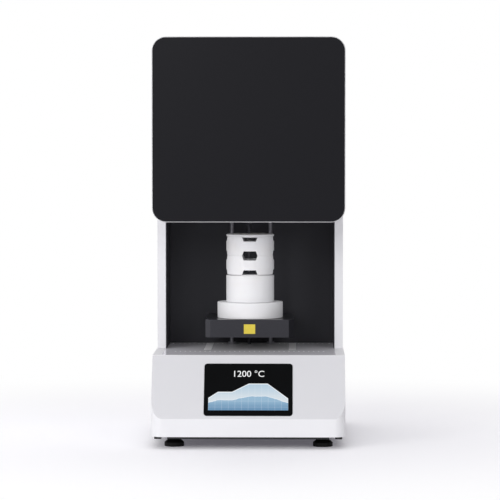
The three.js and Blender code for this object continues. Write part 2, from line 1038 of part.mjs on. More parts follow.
add(stack, "crucible_tray_lower", crucibleTray(), ceramic, 0, 0, pedestalTop);
add(stack, "crucible_tray_upper", crucibleTray(), ceramic, 0, 0, pedestalTop + trayHeight);

const lidBossRadius = trayRadius - trayWall - fitGap;
add(
  stack,
  "crucible_lid",
  turned([
    [0, -lidBossHeight],
    [lidBossRadius, -lidBossHeight],
    [lidBossRadius, seatGap],
    [trayRadius, seatGap],
    [trayRadius, lidThickness - lidEdgeRound],
    [trayRadius - lidEdgeRound, lidThickness],
    [0, lidThickness],
  ]),
  ceramic,
  0,
  0,
  stackTop - lidThickness,
);

// Head shell: a sleeve with round corners, its floor open for the plug, rods, screw and cables
function headShell() {
  const shape = roundedRectangle(cabinetWidth, headHeight, headCornerRadius, headMiddle);
  shape.holes.push(
    roundedRectangle(
      cabinetWidth - 2 * headWall,
      headHeight - 2 * headWall,
      headCornerRadius - headWall,
      headMiddle,
    ),
  );
  const below = headBottom - overrun;
  const above = headFloor + overrun;
  const cut = [
    barZ(neckRadius, below, above, 0, 0, largeSteps),
    barZ(screwRadius + fitGap, below, above, screwX, rodY),
    block(
      -cableOpeningWidth / 2,
      cableOpeningWidth / 2,
      cableFrontY,
      cableRearY,
      below,
      above,
    ),
  ];
  for (const [, sign] of sides) cut.push(barZ(rodRadius + fitGap, below, above, sign * rodOffset, rodY));
  return carve(prismY(shape, -headFrontReach, shellRearY), { cut });
}
add(head, "head_shell", headShell(), whiteEnamel);

// Front panel: a bevelled plate in front of the sleeve with a rim inside it
function frontPanel() {
  const width = cabinetWidth - 2 * panelInset;
  const height = headHeight - 2 * panelInset;
  const radius = headCornerRadius - panelInset;
  const depth = panelThickness - panelBevel;
  const plate = new THREE.ExtrudeGeometry(
    roundedRectangle(width - 2 * panelBevel, height - 2 * panelBevel, radius - panelBevel, headMiddle),
    {
      depth: panelThickness + panelBevel,
      bevelEnabled: true,
      bevelThickness: panelBevel,
      bevelSize: panelBevel,
      bevelSegments: 1,
      curveSegments: cornerSteps,
    },
  );
  plate.rotateX(Math.PI / 2);
  plate.translate(0, -headFrontReach - seatGap + panelBevel, 0);
  const behind = block(
    -halfWidth,
    halfWidth,
    -headFrontReach - seatGap - depth - panelBevel,
    -headFrontReach - seatGap,
    headBottom,
    headTop,
  );
  const fit = 2 * headWall + 2 * fitGap;
  const rimOutline = roundedRectangle(
    cabinetWidth - fit,
    headHeight - fit,
    headCornerRadius - fit / 2,
    headMiddle,
  );
  const hollow = fit + 2 * panelRimWidth;
  rimOutline.holes.push(
    roundedRectangle(
      cabinetWidth - hollow,
      headHeight - hollow,
      headCornerRadius - hollow / 2,
      headMiddle,
    ),
  );
  const rim = prismY(rimOutline, -headFrontReach - panelThickness / 2, -headFrontReach + panelRimDepth);
  return carve(common(plate, behind), { join: [rim] });
}
add(head, "head_front_panel", frontPanel(), blackPanel);

// Chamber frame: a plate on four legs that carries the muffle and its jacket
const neckOuter = neckRadius + neckWall;
const frameTop = muffleBottom - seatGap;
const frameBottom = frameTop - framePlateThickness;

function chamberFrame() {
  const half = jacketRadius + framePlateMargin;
  const inner = half - frameLegWidth;
  const legs = [];
  for (const [x0, x1] of [[-half, -inner], [inner, half]]) {
    for (const [y0, y1] of [[-half, -inner], [inner, half]]) {
      legs.push(block(x0, x1, y0, y1, headFloor + seatGap, frameTop - framePlateThickness / 2));
    }
  }
  return carve(block(-half, half, -half, half, frameBottom, frameTop), {
    join: legs,
    cut: [barZ(neckOuter + fitGap, frameBottom - overrun, frameTop + overrun, 0, 0, largeSteps)],
  });
}
add(head, "chamber_frame", chamberFrame(), plainSteel);

// Insulation in three rings, with the element holes in the roof and the probe's in the wall
const probeZ = muffleBottom + (chamberCeiling - muffleBottom) * probeHeightShare;
const probeHoleRadius = probeRadius + fitGap;
add(
  head,
  "insulation_neck",
  ringZ(neckRadius, neckOuter, headFloor + seatGap, neckTop),
  insulationBoard,
);
add(
  head,
  "insulation_muffle",
  carve(ringZ(chamberRadius, muffleRadius, muffleBottom, chamberCeiling), {
    cut: [barY(probeHoleRadius, chamberRadius / 2, muffleRadius + overrun, 0, probeZ, smallSteps)],
  }),
  insulationBoard,
);

// The two legs of each element stand side by side on a circle round the stack
const elementPlaces = [];
for (let index = 0; index < elementCount; index += 1) {
  const angle = ((index + 1 / 2) * Math.PI * 2) / elementCount;
  const x = elementCircle * Math.cos(angle);
  const y = elementCircle * Math.sin(angle);
  const alongX = (-Math.sin(angle) * elementLegSpacing) / 2;
  const alongY = (Math.cos(angle) * elementLegSpacing) / 2;
  elementPlaces.push({ angle, x, y, legs: [[x + alongX, y + alongY], [x - alongX, y - alongY]] });
}
const legHoles = (z0, z1) =>
  elementPlaces.flatMap(({ legs }) =>
    legs.map(([x, y]) => barZ(elementTerminalRadius + fitGap, z0, z1, x, y, smallSteps)),
  );

add(
  head,
  "insulation_roof",
  carve(barZ(muffleRadius, roofBottom, roofTop, 0, 0, largeSteps), {
    cut: legHoles(roofBottom - overrun, roofTop + overrun),
  }),
  insulationBoard,
);
add(
  head,
  "chamber_jacket",
  carve(ringZ(muffleRadius + fitGap, jacketRadius, muffleBottom, roofTop), {
    cut: [barY(probeHoleRadius, chamberRadius, jacketRadius + overrun, 0, probeZ, smallSteps)],
  }),
  plainSteel,
);
const holderBottom = roofTop + seatGap;
const holderTop = holderBottom + holderThickness;
add(
  head,
  "element_holder",
  carve(
    ringZ(elementCircle - holderWidth / 2, elementCircle + holderWidth / 2, holderBottom, holderTop),
    { cut: legHoles(holderBottom - overrun, holderTop + overrun) },
  ),
  ceramic,
);

// Heating element: a hairpin of thin rod with thicker ends that pass through the roof
function heatingElement() {
  const half = elementLegSpacing / 2;
  const bendZ = neckTop + elementFloorGap + half + elementRadius;
  const top = holderTop + elementRise;
  const bend = new THREE.TorusGeometry(half, elementRadius, smallSteps, middleSteps);
  bend.rotateX(Math.PI / 2).translate(0, 0, bendZ);
  const lowerHalf = common(
    bend,
    block(-elementLegSpacing, elementLegSpacing, -half, half, bendZ - elementLegSpacing, bendZ),
  );
  const join = [];
  for (const x of [-half, half]) {
    join.push(barZ(elementRadius, bendZ, roofBottom, x, 0, smallSteps));
    join.push(barZ(elementTerminalRadius, chamberCeiling - fitGap, top, x, 0, smallSteps));
  }
  return carve(lowerHalf, { join });
}
elementPlaces.forEach(({ angle, x, y }, index) => {
  const element = add(head, `heating_element_${index + 1}`, heatingElement(), elementGrey, x, y);
  element.rotation.z = angle + Math.PI / 2;
});

// Thermocouple: a thin sheath through the wall to beside the stack, with its head outside
const probeTip = trayRadius + probeTipGap;
add(
  head,
  "thermocouple",
  carve(barY(probeRadius, probeTip, jacketRadius + probeHeadLength / 2, 0, probeZ, smallSteps), {
    join: [
      barY(
        probeHeadRadius,
        jacketRadius + fitGap,
        jacketRadius + fitGap + probeHeadLength,
        0,
        probeZ,
      ),
    ],
  }),
  ceramic,
);

// Rows of vent slots, drawn in X and Z and cut through a rear cover
function ventSlots(centreZ) {
  const slots = [];
  for (const [, sign] of sides) {
    for (let row = 0; row < ventCount; row += 1) {
      const z = centreZ + (row - (ventCount - 1) / 2) * ventPitch;
      const x = sign * ventOffset;
      slots.push(
        block(
          x - ventWidth / 2,
          x + ventWidth / 2,
          coverFrontY - overrun,
          coverBackY + overrun,
          z - ventHeight / 2,
          z + ventHeight / 2,
        ),
      );
    }
  }
  return slots;
}

const inletX = inletInset - halfWidth;
const inletZ = baseBottom + inletAboveBase;
const fanX = fanInset - halfWidth;
const fanZ = headTop - fanDrop;

add(
  rear,
  "rear_cover_lower",
  carve(underHead(block(-columnOuterX, columnOuterX, coverFrontY, coverBackY, baseBottom, columnTop)), {
    cut: [
      ...ventSlots(lowerVentHeight),
      block(
        inletX - inletWidth / 2 - fitGap,
        inletX + inletWidth / 2 + fitGap,
        coverFrontY - overrun,
        coverBackY + overrun,
        inletZ - inletHeight / 2 - fitGap,
        inletZ + inletHeight / 2 + fitGap,
      ),
    ],
  }),
  whiteEnamel,
);
add(
  rear,
  "rear_cover_upper",
  carve(
    prismY(
      roundedRectangle(cabinetWidth, headHeight, headCornerRadius, headMiddle),
      coverFrontY,
      coverBackY,
    ),
    {
      cut: [
        ...ventSlots(headBottom + upperVentDrop),
        barY(fanBoreRadius, coverFrontY - overrun, coverBackY + overrun, fanX, fanZ),
      ],
    },
  ),
  whiteEnamel,
);

// Fan housing: a square frame with a round bore, a hub held by struts, and the rotor's pin
const fanFrontY = shellRearY - fanDepth;
const rotorFrontY = fanFrontY + fanBackThickness + fanRotorGap;

function fanHousing() {
  const half = fanWidth / 2;
  const frame = carve(block(-half, half, fanFrontY, shellRearY, -half, half), {
    cut: [barY(fanBoreRadius, fanFrontY - overrun, shellRearY + overrun)],
  });
  const backY = fanFrontY + fanBackThickness;
  const strut = fanStrutWidth / 2;
  return carve(frame, {
    join: [
      barY(fanHubRadius, fanFrontY, backY),
      block(-half, half, fanFrontY, backY, -strut, strut),
      block(-strut, strut, fanFrontY, backY, -half, half),
      barY(fanPinRadius, fanFrontY, rotorFrontY + fanRotorDepth, 0, 0, smallSteps),
    ],
  });
}
add(rear, "fan_housing", fanHousing(), blackPlastic, fanX, 0, fanZ);

function fanRotor() {
  const tip = fanBoreRadius - fanBladeTipGap;
  const middleY = rotorFrontY + fanRotorDepth / 2;
  const blades = [];
  for (let index = 0; index < fanBladeCount; index += 1) {
    const blade = block(
      fanHubRadius / 2,
      tip,
      -fanBladeChord / 2,
      fanBladeChord / 2,
      -fanBladeThickness / 2,
      fanBladeThickness / 2,
    );
    blade.rotateX(THREE.MathUtils.degToRad(fanBladePitchDegrees));
    blade.rotateY((index * Math.PI * 2) / fanBladeCount);
    blades.push(blade.translate(0, middleY, 0));
  }
  return carve(barY(fanHubRadius, rotorFrontY, rotorFrontY + fanRotorDepth), {
    join: blades,
    cut: [
      barY(
        fanPinRadius + fitGap,
        rotorFrontY - overrun,
        rotorFrontY + fanRotorDepth + overrun,
        0,
        0,
        smallSteps,
      ),
    ],
  });
}
add(rear, "fan_rotor", fanRotor(), blackPlastic, fanX, 0, fanZ);

// Fan guard: round wires joined by a cross, flat on the outside of the cover
function fanGuard() {
  const guardFront = coverBackY + seatGap;
  const guardBack = cabinetDepth / 2;
  const outer = fanBoreRadius + guardWireWidth;
  const join = [];
  for (let radius = outer; radius > guardRingPitch; radius -= guardRingPitch) {
    const wire = ringZ(radius - guardWireWidth, radius, guardFront, guardBack, middleSteps);
    join.push(wire.rotateX(-Math.PI / 2));
  }
  const reach = outer - guardWireWidth / 2;
  const half = guardWireWidth / 2;
  join.push(block(-half, half, guardFront, guardBack, -reach, reach));
  return carve(block(-reach, reach, guardFront, guardBack, -half, half), { join });
}
add(rear, "fan_guard", fanGuard(), plainSteel, fanX, 0, fanZ);

// Mains inlet: a flanged body with a socket below and the switch's opening above
const flangeFrontY = coverBackY + seatGap;
const flangeBackY = cabinetDepth / 2;
const rockerPinY = flangeBackY - rockerPinDepth;

function powerInlet() {
  const halfX = inletWidth / 2;
  const halfZ = inletHeight / 2;
  const body = block(-halfX, halfX, flangeBackY - inletDepth, flangeBackY, -halfZ, halfZ);
  const flange = block(
    -halfX - inletFlange,
    halfX + inletFlange,
    flangeFrontY,
    flangeBackY,
    -halfZ - inletFlange,
    halfZ + inletFlange,
  );
  const socket = block(
    -socketWidth / 2,
    socketWidth / 2,
    flangeBackY - socketDepth,
    flangeBackY + overrun,
    -socketDrop - socketHeight / 2,
    -socketDrop + socketHeight / 2,
  );
  const aperture = block(
    -rockerWidth / 2 - fitGap,
    rockerWidth / 2 + fitGap,
    flangeBackY - rockerApertureDepth,
    flangeBackY + overrun,
    rockerRise - rockerHeight / 2 - rockerClearance,
    rockerRise + rockerHeight / 2 + rockerClearance,
  );
  const contacts = [];
  for (const [x, z] of [[-contactSpacing, -contactRise], [0, contactRise], [contactSpacing, -contactRise]]) {
    contacts.push(
      block(
        x - contactWidth / 2,
        x + contactWidth / 2,
        flangeBackY - socketDepth - overrun,
        flangeBackY - socketDepth + contactLength,
        z - socketDrop - contactHeight / 2,
        z - socketDrop + contactHeight / 2,
      ),
    );
  }
  const pinEnd = rockerWidth / 2 + overrun;
  const pin = barX(rockerPinRadius, -pinEnd, pinEnd, rockerPinY, rockerRise);
  const hollowed = carve(body, { join: [flange], cut: [socket, aperture] });
  return carve(hollowed, { join: [pin, ...contacts] });
}
add(rear, "power_inlet", powerInlet(), blackPlastic, inletX, 0, inletZ);

// Rocker: a shallow V that tips on its pin, drawn level and then tipped to one side
function switchRocker() {
  const half = rockerHeight / 2;
  const depth = rockerPinRadius + fitGap + rockerPinRadius;
  const section = outline([
    [-depth, -depth],
    [rockerEndProud, -half],
    [rockerMidProud, 0],
    [rockerEndProud, half],
    [-depth, depth],
  ]);
  return carve(prismX(section, -rockerWidth / 2, rockerWidth / 2), {
    cut: [barX(rockerPinRadius + fitGap, -rockerWidth, rockerWidth)],
  });
}
const rockerZ = inletZ + rockerRise;
const rocker = add(rear, "switch_rocker", switchRocker(), blackPlastic, inletX, rockerPinY, rockerZ);
rocker.rotation.x = THREE.MathUtils.degToRad(rockerTiltDegrees);

// Parts that stand on the tray's floor, at a share of the way from its middle to its sides and ends
function addInside(name, shape, material, [shareX, shareY], width, depth) {
  const wayX = halfWidth - trayInsetX - trayThickness - width / 2;
  const wayY = cabinetDepth / 2 - trayInsetY - trayThickness - depth / 2;
  add(cabinet, name, shape, material, shareX * wayX, shareY * wayY, innerPartsBottom);
}

// Transformer: a laminated core with its coil standing out on both sides
function transformer() {
  const halfX = transformerWidth / 2;
  const halfY = transformerDepth / 2;
  const coilX = halfX * transformerCoilShare;
  const coilZ = (transformerHeight * (1 - transformerCoilShare)) / 2;
  return carve(block(-halfX, halfX, -halfY, halfY, 0, transformerHeight), {
    join: [
      block(
        -coilX,
        coilX,
        -halfY - transformerCoilReach,
        halfY + transformerCoilReach,
        coilZ,
        transformerHeight - coilZ,
      ),
    ],
  });
}
addInside(
  "transformer",
  transformer(),
  transformerGrey,
  transformerPlaceShares,
  transformerWidth,
  transformerDepth + 2 * transformerCoilReach,
);

// Power relay on a finned heat sink
function powerRelay() {
  const halfX = relayWidth / 2;
  const halfY = relayDepth / 2;
  const join = [];
  const pitch = (relayWidth - relayFinThickness) / (relayFinCount - 1);
  for (let fin = 0; fin < relayFinCount; fin += 1) {
    const x = -halfX + fin * pitch;
    join.push(block(x, x + relayFinThickness, -halfY, halfY, relayBaseHeight / 2, relayFinHeight));
  }
  return carve(block(-halfX, halfX, -halfY, halfY, 0, relayBaseHeight), { join });
}
addInside("power_relay", powerRelay(), aluminium, relayPlaceShares, relayWidth, relayDepth);

// Control board on four legs, with its largest components
function controlBoard() {
  const halfX = boardWidth / 2;
  const halfY = boardDepth / 2;
  const boardTop = boardLegHeight + boardThickness;
  const join = [];
  for (const x of [-halfX + boardLegInset, halfX - boardLegInset]) {
    for (const y of [-halfY + boardLegInset, halfY - boardLegInset]) {
      join.push(barZ(boardLegRadius, 0, boardLegHeight + boardThickness / 2, x, y, smallSteps));
    }
  }
  for (const [x, y, width, depth] of boardChipShares) {
    join.push(
      block(
        (x - width / 2) * boardWidth,
        (x + width / 2) * boardWidth,
        (y - depth / 2) * boardDepth,
        (y + depth / 2) * boardDepth,
        boardTop - boardThickness / 2,
        boardTop + chipHeight,
      ),
    );
  }
  return carve(block(-halfX, halfX, -halfY, halfY, boardLegHeight, boardTop), { join });
}
addInside("control_board", controlBoard(), boardGreen, boardPlaceShares, boardWidth, boardDepth);

export default furnace;
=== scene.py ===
# Looks of a dental sintering furnace that loads from below: a heating head on two columns over an
# open bay, a screw lift that carries the firing stack, and a base with a sloped console.
# Metres, +Z up, front towards -Y, origin on the floor under the firing axis.
import math

import bmesh
import bpy
from mathutils import Matrix, Vector


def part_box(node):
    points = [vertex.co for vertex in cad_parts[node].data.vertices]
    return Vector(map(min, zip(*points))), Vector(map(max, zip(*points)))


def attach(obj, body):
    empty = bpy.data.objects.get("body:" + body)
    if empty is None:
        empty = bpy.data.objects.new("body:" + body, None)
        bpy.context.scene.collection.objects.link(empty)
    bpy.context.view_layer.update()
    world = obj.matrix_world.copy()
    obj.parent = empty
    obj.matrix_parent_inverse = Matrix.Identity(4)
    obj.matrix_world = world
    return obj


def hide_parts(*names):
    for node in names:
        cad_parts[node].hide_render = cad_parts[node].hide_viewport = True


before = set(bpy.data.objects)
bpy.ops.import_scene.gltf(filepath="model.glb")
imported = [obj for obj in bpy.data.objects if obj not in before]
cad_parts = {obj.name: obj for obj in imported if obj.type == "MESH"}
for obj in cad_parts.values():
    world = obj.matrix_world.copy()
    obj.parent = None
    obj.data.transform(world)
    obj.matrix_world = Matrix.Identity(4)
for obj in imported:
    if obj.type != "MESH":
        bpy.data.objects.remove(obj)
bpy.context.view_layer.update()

# Camera. A long lens, a little to the right of the middle and level with the middle of the head,
# turned slightly left and down.
camera_place = (0.0843, -4.6618, 0.5531)
camera_tilt = math.radians(90 - 2.39)
camera_turn = math.radians(1.04)
image_width = 500
focal_pixels = 2417.45
sensor_width = 36.0
farthest_seen = 60.0

camera_data = bpy.data.cameras.new("camera")
camera_data.sensor_width = sensor_width
camera_data.lens = focal_pixels / image_width * sensor_width
camera_data.clip_end = farthest_seen
camera = bpy.data.objects.new("camera", camera_data)
camera.location = camera_place
camera.rotation_euler = (camera_tilt, 0, camera_turn)
bpy.context.scene.collection.objects.link(camera)
bpy.context.scene.camera = camera
bpy.context.scene.view_settings.view_transform = "Standard"

# Studio light. A pale tent all round, a little brighter on the left and with a dark flag on the
# right, a large soft box on the left, weaker ones in front and on the right, and one above and
# behind.
soft_boxes = [
    ("key_box", (-2.5, -2.7, 1.6), 1.8, 36.0),
    ("front_box", (-0.9, -3.4, 1.5), 1.2, 17.0),
    ("fill_box", (1.7, -3.3, 1.4), 1.2, 19.0),
    ("top_box", (0.0, 0.9, 3.2), 2.4, 16.0),
]
lit_place = Vector((0, 0, 0.35))
surround_level = 0.72
surround_slopes = (-0.14, 0.1, -0.1)
surround_tint = (0.998, 0.991, 1.0, 1.0)
flag_edges = (0.8, 0.93)
flag_level = 0.08
white_light = (1.0, 1.0, 1.0, 1.0)
no_light = (0.0, 0.0, 0.0, 1.0)

for name, place, width, power in soft_boxes:
    light = bpy.data.lights.new(name, "AREA")
    light.size = width
    light.energy = power
    lamp = bpy.data.objects.new(name, light)
    lamp.location = place
    lamp.rotation_euler = (lit_place - Vector(place)).to_track_quat("-Z", "Y").to_euler()
    bpy.context.scene.collection.objects.link(lamp)


def shade(red, green, blue):
    """The light behind a colour that is given as it looks on a screen, from 0 to 255."""
    levels = [(level / 255 + 0.055) / 1.055 for level in (red, green, blue)]
    return (*[level ** 2.4 for level in levels], 1.0)


class Link:
    """A node's output, on which Python's own signs add the nodes of a sum or a comparison."""

    def __init__(self, finish, socket):
        self.finish = finish
        self.socket = socket

    def math(self, operation, *values):
        return self.finish.node("ShaderNodeMath", {"operation": operation}, dict(enumerate(values)))

    def __add__(self, other):
        return self.math("ADD", self, other)

    def __sub__(self, other):
        return self.math("SUBTRACT", self, other)

    def __rsub__(self, other):
        return self.math("SUBTRACT", other, self)

    def __mul__(self, other):
        return self.math("MULTIPLY", self, other)

    def __lt__(self, other):
        return self.math("LESS_THAN", self, other)

    def __gt__(self, other):
        return self.math("GREATER_THAN", self, other)

    def __abs__(self):
        return self.math("ABSOLUTE", self)

    def __mod__(self, other):
        return self.math("FLOORED_MODULO", self, other)

    __radd__ = __add__
    __rmul__ = __mul__

    def lesser(self, other):
        return self.math("MINIMUM", self, other)

    def greater(self, other):
        return self.math("MAXIMUM", self, other)

    def between(self, low, high, start=0.0, end=1.0):
        """How far this value has come from one level to another, as a number from start to end."""
        sockets = {0: self, 1: low, 2: high, 3: start, 4: end}
        return self.finish.node("ShaderNodeMapRange", {"interpolation_type": "SMOOTHSTEP"}, sockets)


class Finish:
    """A tree of shader nodes, with the one method that adds a node to it."""

    def __init__(self, holder):
        holder.use_nodes = True
        self.holder = holder
        self.tree = holder.node_tree
        self.tree.nodes.clear()

    def node(self, kind, settings=None, sockets=None, output=0):
        made = self.tree.nodes.new(kind)
        for name, value in (settings or {}).items():
            setattr(made, name, value)
        for name, value in (sockets or {}).items():
            if isinstance(value, Link):
                self.tree.links.new(value.socket, made.inputs[name])
            else:
                made.inputs[name].default_value = value
        return Link(self, made.outputs[output]) if len(made.outputs) else None

    def place(self, **settings):
        """Object coordinates, moved, turned or squeezed by a Mapping node where that is asked."""
        here = self.node("ShaderNodeTexCoord", output="Object")
        if not settings:
            return here
        sockets = {"Vector": here, **{name.capitalize(): value for name, value in settings.items()}}
        return self.node("ShaderNodeMapping", {"vector_type": "TEXTURE"}, sockets)

    def axes(self, place):
        return [self.node("ShaderNodeSeparateXYZ", {}, {0: place}, axis) for axis in "XYZ"]

    def vector(self, operation, output, *values):
        settings = {"operation": operation}
        return self.node("ShaderNodeVectorMath", settings, dict(enumerate(values)), output)

    def mix(self, share, first, second):
        return self.node("ShaderNodeMix", {"data_type": "RGBA"}, {0: share, 6: first, 7: second}, 2)

    def noise(self, scale, detail=2.0, place=None):
        sockets = {"Vector": place or self.place(), "Scale": scale, "Detail": detail}
        return self.node("ShaderNodeTexNoise", {}, sockets)

    def bump(self, height, depth):
        return self.node("ShaderNodeBump", {}, {"Height": height, "Distance": depth})

    def surface(self, **sockets):
        named = {name.replace("_", " "): value for name, value in sockets.items()}
        shader = self.node("ShaderNodeBsdfPrincipled", {}, named)
        self.node("ShaderNodeOutputMaterial", {}, {"Surface": shader})
        return self.holder


world = bpy.data.worlds.new("surroundings")
bpy.context.scene.world = world
surroundings = Finish(world)


def tent(finish, way):
    """How bright the tent is that way."""
    slope = finish.vector("DOT_PRODUCT", "Value", way, surround_slopes)
    flag = finish.axes(way)[0].between(*flag_edges, 1.0, flag_level)
    return (slope + surround_level) * flag


level = tent(surroundings, surroundings.node("ShaderNodeTexCoord", output="Generated"))
glow = surroundings.node("ShaderNodeBackground", {}, {"Color": surround_tint, "Strength": level})
backdrop = surroundings.node("ShaderNodeBackground", {}, {"Color": white_light, "Strength": 1.0})
seen = surroundings.node("ShaderNodeLightPath", output="Is Camera Ray")
sky = surroundings.node("ShaderNodeMixShader", {}, {0: seen, 1: glow, 2: backdrop})
surroundings.node("ShaderNodeOutputWorld", {}, {"Surface": sky})

# Floor. A plain pale sheet that takes the furnace's soft shadow, and runs out into white. What it
# sends back to the furnace from far off is as bright as the tent there.
floor_reach = 9.0
floor_fade = (0.35, 1.3)
floor_colour = shade(250, 250, 251)
floor_cloud = shade(247, 247, 249)
# A faint violet glow all over the near floor: painted light that lifts and tints its shadows.
floor_glow = shade(88, 86, 93)

floor_mesh = bpy.data.meshes.new("floor")
floor_signs = [(-1, -1), (1, -1), (1, 1), (-1, 1)]
floor_corners = [(x * floor_reach, y * floor_reach, 0) for x, y in floor_signs]
floor_mesh.from_pydata(floor_corners, [], [(0, 1, 2, 3)])
floor = bpy.data.objects.new("floor", floor_mesh)
bpy.context.scene.collection.objects.link(floor)
floor_finish = Finish(bpy.data.materials.new("pale_floor"))
floor_paper = floor_finish.node(
    "ShaderNodeBsdfPrincipled",
    {},
    {
        "Base Color": floor_finish.mix(floor_finish.noise(scale=3.0, detail=4.0), floor_colour, floor_cloud),
        "Roughness": 0.6,
        "Specular IOR Level": 0.2,
        "Emission Color": floor_glow,
        "Emission Strength": 1.0,
    },
)
floor_distance = floor_finish.vector("LENGTH", "Value", floor_finish.place())
floor_way = floor_finish.vector("NORMALIZE", "Vector", floor_finish.place())
floor_sent = floor_finish.mix(tent(floor_finish, floor_way), no_light, surround_tint)
floor_seen = floor_finish.node("ShaderNodeLightPath", output="Is Camera Ray")
floor_light = floor_finish.mix(floor_seen, floor_sent, white_light)
floor_far = floor_finish.node("ShaderNodeEmission", {}, {"Color": floor_light, "Strength": 1.0})
floor_share = floor_distance.between(*floor_fade)
floor_mixed = floor_finish.node("ShaderNodeMixShader", {}, {0: floor_share, 1: floor_paper, 2: floor_far})
floor_finish.node("ShaderNodeOutputMaterial", {}, {"Surface": floor_mixed})
floor_mesh.materials.append(floor_finish.holder)

# Levelling feet. A moulded rubber pad with a sloping shoulder, on a threaded steel stud that
# screws into a boss of the base tray.
corner_points = 9
merge_reach = 1e-6
flat_angle = math.radians(0.6)
round_steps = 72
thread_rows = 6
thread_run_out = 4
thread_flank = 3
thread_root = 0.25
bevel_angle = 28
dust_gain = 1.35
dust_lift = 0.002


def outline(corners):
    """An outline through (across, up, round) corners, each turned with a round of that radius."""
    points = []
    for index, (across, up, radius) in enumerate(corners):
        here = Vector((across, up))
        if radius == 0:
            points.append(here)
            continue
        back = (Vector(corners[index - 1][:2]) - here).normalized()
        ahead = (Vector(corners[(index + 1) % len(corners)][:2]) - here).normalized()
        half = back.angle(ahead) / 2
        centre = here + (back + ahead).normalized() * radius / math.sin(half)
        first = here + back * radius / math.tan(half) - centre
        last = here + ahead * radius / math.tan(half) - centre
        sweep = math.pi - 2 * half
        for step in range(corner_points):
            way = step / (corner_points - 1) * sweep
            spoke = first * math.sin(sweep - way) + last * math.sin(way)
            points.append(centre + spoke / math.sin(sweep))
    return points


def solid(shape):
    """An object from a closed shape, with doubled points merged and its faces turned outwards."""
    bmesh.ops.remove_doubles(shape, verts=shape.verts, dist=merge_reach)
    bmesh.ops.recalc_face_normals(shape, faces=shape.faces)
    mesh = bpy.data.meshes.new("shape")
    shape.to_mesh(mesh)
    shape.free()
    made = bpy.data.objects.new("shape", mesh)
    bpy.context.scene.collection.objects.link(made)
    return made


def about(x, y, radius, angle):
    """The place at that distance and angle about an upright axis."""
    return x + radius * math.cos(angle), y + radius * math.sin(angle)


def lathe(corners, x=0.0, y=0.0, steps=round_steps):
    """A piece turned about an upright axis, from (radius, height, round) corners of its section."""
    shape = bmesh.new()
    rings = []
    for radius, height in outline(corners):
        ring = []
        for step in range(steps if radius > merge_reach else 1):
            angle = step / steps * math.tau
            ring.append(shape.verts.new((*about(x, y, radius, angle), height)))
        rings.append(ring)
    for low, high in zip(rings, rings[1:] + rings[:1]):
        for step in range(steps if len(low) + len(high) > 2 else 0):
            ends = [low[step % len(low)], low[(step + 1) % steps % len(low)]]
            ends += [high[(step + 1) % steps % len(high)], high[step % len(high)]]
            shape.faces.new(list(dict.fromkeys(ends)))
    return solid(shape)


def skinned(shape, rings):
    """The solid over rings of points, each joined to the next, with the first and last closed."""
    for low, high in zip(rings, rings[1:]):
        for step in range(len(low)):
            after = (step + 1) % len(low)
            shape.faces.new([low[step], low[after], high[after], high[step]])
    shape.faces.new(rings[0])
    shape.faces.new(rings[-1])
    return solid(shape)


def threaded(radius, depth, pitch, low, high, x, y, steps=20):
    """A threaded rod about an upright axis, with its thread run out at both chamfered ends."""
    shape = bmesh.new()
    rows = round((high - low) / pitch * thread_rows)
    rings = []
    for row in range(rows + 1):
        height = low + (high - low) * row / rows
        run_out = min(1, min(row, rows - row) / thread_run_out)
        ring = []
        for step in range(steps):
            turn = step / steps
            way = (height / pitch - turn) % 1
            crest = min(1, max(0, thread_flank * abs(way - 0.5) - thread_root))
            reach = radius - depth * (1 - crest * run_out)
            ring.append(shape.verts.new((*about(x, y, reach, turn * math.tau), height)))
        rings.append(ring)
    return skinned(shape, rings)


def fixed(made):
    """The object with its modifiers worked into its mesh."""
    state = bpy.context.evaluated_depsgraph_get()
    mesh = bpy.data.meshes.new_from_object(made.evaluated_get(state))
    made.modifiers.clear()
    made.data = mesh
    return made


def eased(made, width=0.0, segments=3, angle=bevel_angle):
    """The object shaded smooth, with its sharp edges rounded off by a small radius."""
    for face in made.data.polygons:
        face.use_smooth = True
    if width > 0:
        edges = made.modifiers.new("edges", "BEVEL")
        edges.width = width
        edges.segments = segments
        edges.limit_method = "ANGLE"
        edges.angle_limit = math.radians(angle)
        edges.miter_outer = "MITER_ARC"
    shading = made.modifiers.new("shading", "WEIGHTED_NORMAL")
    shading.weight = 100
    return fixed(made)


def fit(made, name, body, slot, finish, *nodes):
    """The piece under its name, with its finish, on its body, and in the place of its CAD nodes."""
    made.name = name
    made.data.name = name
    made.data.materials.clear()
    made.data.materials.append(finish)
    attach(made, body)
    if nodes:
        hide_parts(*nodes)


def toned(colour, share):
    """A colour with its light made less or more by a share."""
    return (*[level * share for level in colour[:3]], 1.0)


def moulded(name, colour, roughness, grain, depth, specular=0.3):
    """Rubber or plastic from a mould: an even colour with a fine leathery grain."""
    finish = Finish(bpy.data.materials.new(name))
    dust = finish.noise(scale=40, detail=5)
    paler = tuple(min(1, level * dust_gain + dust_lift) for level in colour[:3])
    return finish.surface(
        Base_Color=finish.mix(dust, colour, (*paler, 1)),
        Roughness=dust * 0.14 + roughness,
        Specular_IOR_Level=specular,
        Normal=finish.bump(finish.noise(grain, detail=3), depth),
    )


def steel(name, colour, roughness, grain, depth, squeeze, metallic=1.0, haze=0.0):
    """Metal with fine marks that run one way, a shine that changes along them, and a faint haze."""
    finish = Finish(bpy.data.materials.new(name))
    marks = finish.noise(grain, detail=3, place=finish.place(scale=squeeze))
    cloud = finish.noise(scale=25, detail=3)
    return finish.surface(
        Base_Color=finish.mix(cloud, colour, toned(colour, share=0.86)),
        Metallic=metallic,
        Roughness=marks * 0.12 + cloud * 0.05 + roughness,
        Sheen_Weight=haze,
        Normal=finish.bump(marks, depth),
    )


